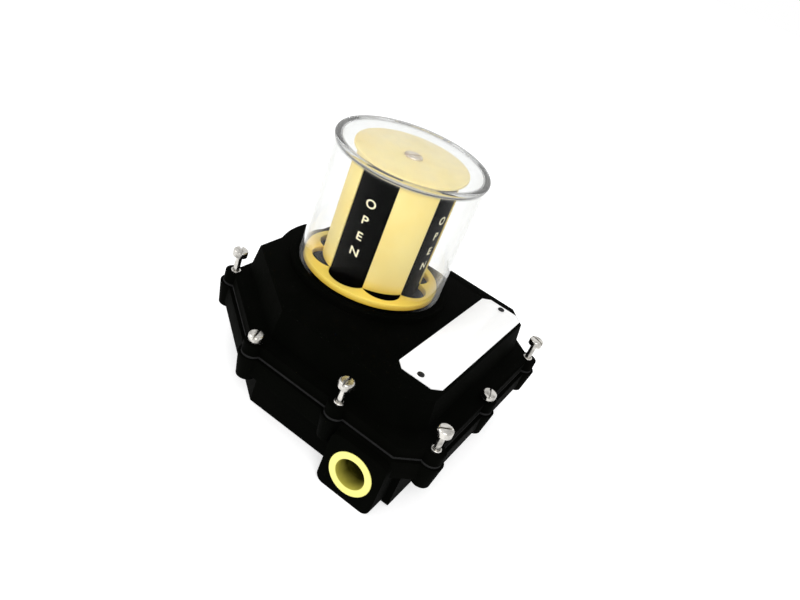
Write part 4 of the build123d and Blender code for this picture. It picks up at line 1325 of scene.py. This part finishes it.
@dataclass
class Studio:
    """Floor, soft light and camera."""

    eye: tuple[float, float, float] = (-282.8, -125.3, 227.6)
    heading: float = 20.47
    pitch: float = -31.07
    roll: float = 22.61
    lens: float = 33.64
    sensor: float = 36.0
    nearest: float = 10.0 * MM
    ambient: float = 0.90
    floor_half: float = 4.0
    floor_tone: float = 0.80
    floor_lift: float = 0.42
    aim: tuple[float, float, float] = (0.0, 0.0, 0.05)
    key: Lamp = Lamp("key", (-0.9, -0.5, 0.9), 0.7, 7.0)
    fill: Lamp = Lamp("fill", (-0.6, 0.9, 0.8), 0.9, 4.0)

    def camera(self) -> None:
        """Place the camera and make it the scene's own."""
        data = bpy.data.cameras.new("camera")
        data.lens = self.lens
        data.sensor_width = self.sensor
        data.clip_start = self.nearest
        camera = bpy.data.objects.new("camera", data)
        heading = math.radians(self.heading)
        pitch = math.radians(self.pitch)
        roll = math.radians(self.roll)
        ahead = Vector((math.cos(pitch) * math.cos(heading),
                        math.cos(pitch) * math.sin(heading), math.sin(pitch)))
        side = ahead.cross(Vector((0.0, 0.0, 1.0))).normalized()
        up = side.cross(ahead)
        right = side * math.cos(roll) + up * math.sin(roll)
        top = up * math.cos(roll) - side * math.sin(roll)
        turn = Matrix((right, top, -ahead)).transposed().to_4x4()
        camera.matrix_world = Matrix.Translation(Vector(self.eye) * MM) @ turn
        bpy.context.scene.collection.objects.link(camera)
        bpy.context.scene.camera = camera

    def hang(self, lamp: Lamp) -> None:
        """Add one lamp, aimed at the object.

        Args:
            lamp: The lamp to hang.
        """
        data = bpy.data.lights.new(lamp.name, "AREA")
        data.shape = "SQUARE"
        data.size = lamp.size
        data.energy = lamp.power
        holder = bpy.data.objects.new(lamp.name, data)
        holder.location = lamp.place
        ahead = Vector(self.aim) - Vector(lamp.place)
        holder.rotation_euler = ahead.to_track_quat("-Z", "Y").to_euler()
        bpy.context.scene.collection.objects.link(holder)

    def floor(self) -> None:
        """Lay the plain pale floor."""
        mesh = bmesh.new()
        bmesh.ops.create_grid(mesh, x_segments=1, y_segments=1, size=self.floor_half)
        graph = Graph("pale_floor")
        tone = self.floor_tone
        shader = graph.add("ShaderNodeBsdfDiffuse", Color=(tone, tone, tone, 1.0))
        glow = graph.add("ShaderNodeEmission", Color=(*WHITE, 1.0))
        lift = graph.span(seen_or_mirrored(graph.tree), (0.0, self.floor_lift))
        graph.join(lift, glow.inputs["Strength"])
        both = graph.add("ShaderNodeAddShader")
        graph.join(shader.outputs["BSDF"], both.inputs[0])
        graph.join(glow.outputs["Emission"], both.inputs[1])
        floor = new_piece("floor", mesh, graph.finish(both.outputs["Shader"]))

    def world(self) -> None:
        """Light the room evenly; what is seen directly or mirrored is white."""
        world = bpy.data.worlds.new("room")
        bpy.context.scene.world = world
        world.use_nodes = True
        tree = world.node_tree
        tree.nodes.clear()
        output = tree.nodes.new("ShaderNodeOutputWorld")
        mix = tree.nodes.new("ShaderNodeMixShader")
        tree.links.new(seen_or_mirrored(tree), mix.inputs["Fac"])
        for socket, strength in ((1, self.ambient), (2, 1.0)):
            light = tree.nodes.new("ShaderNodeBackground")
            light.inputs["Color"].default_value = (*WHITE, 1.0)
            light.inputs["Strength"].default_value = strength
            tree.links.new(light.outputs["Background"], mix.inputs[socket])
        tree.links.new(mix.outputs["Shader"], output.inputs["Surface"])

    def build(self) -> None:
        """Set up the floor, the lights, the world and the camera."""
        bpy.context.scene.view_settings.view_transform = "Standard"
        self.floor()
        self.world()
        self.hang(self.key)
        self.hang(self.fill)
        self.camera()


def dress_nodes() -> None:
    """Give every CAD node the finish of its slot."""
    for name, node in frame["nodes"].items():
        node.data.materials.clear()
        node.data.materials.append(MATERIALS[slot_of(name)])
        LOG.info("dressed %s", name)


def main() -> None:
    """Build the looks in order and report each piece."""
    logging.basicConfig(level=logging.INFO)
    dress_nodes()
    builders: list[Callable[[], list[bpy.types.Object]]] = [
        Enclosure().build, Dome().build, Mask().build, Drum().build, Plug().build, Plate().build,
        Screws().build,
    ]
    for build in builders:
        for piece in build():
            LOG.info("built %s with %d faces", piece.name, len(piece.data.polygons))
    Studio().build()


if __name__ == "__main__":
    main()
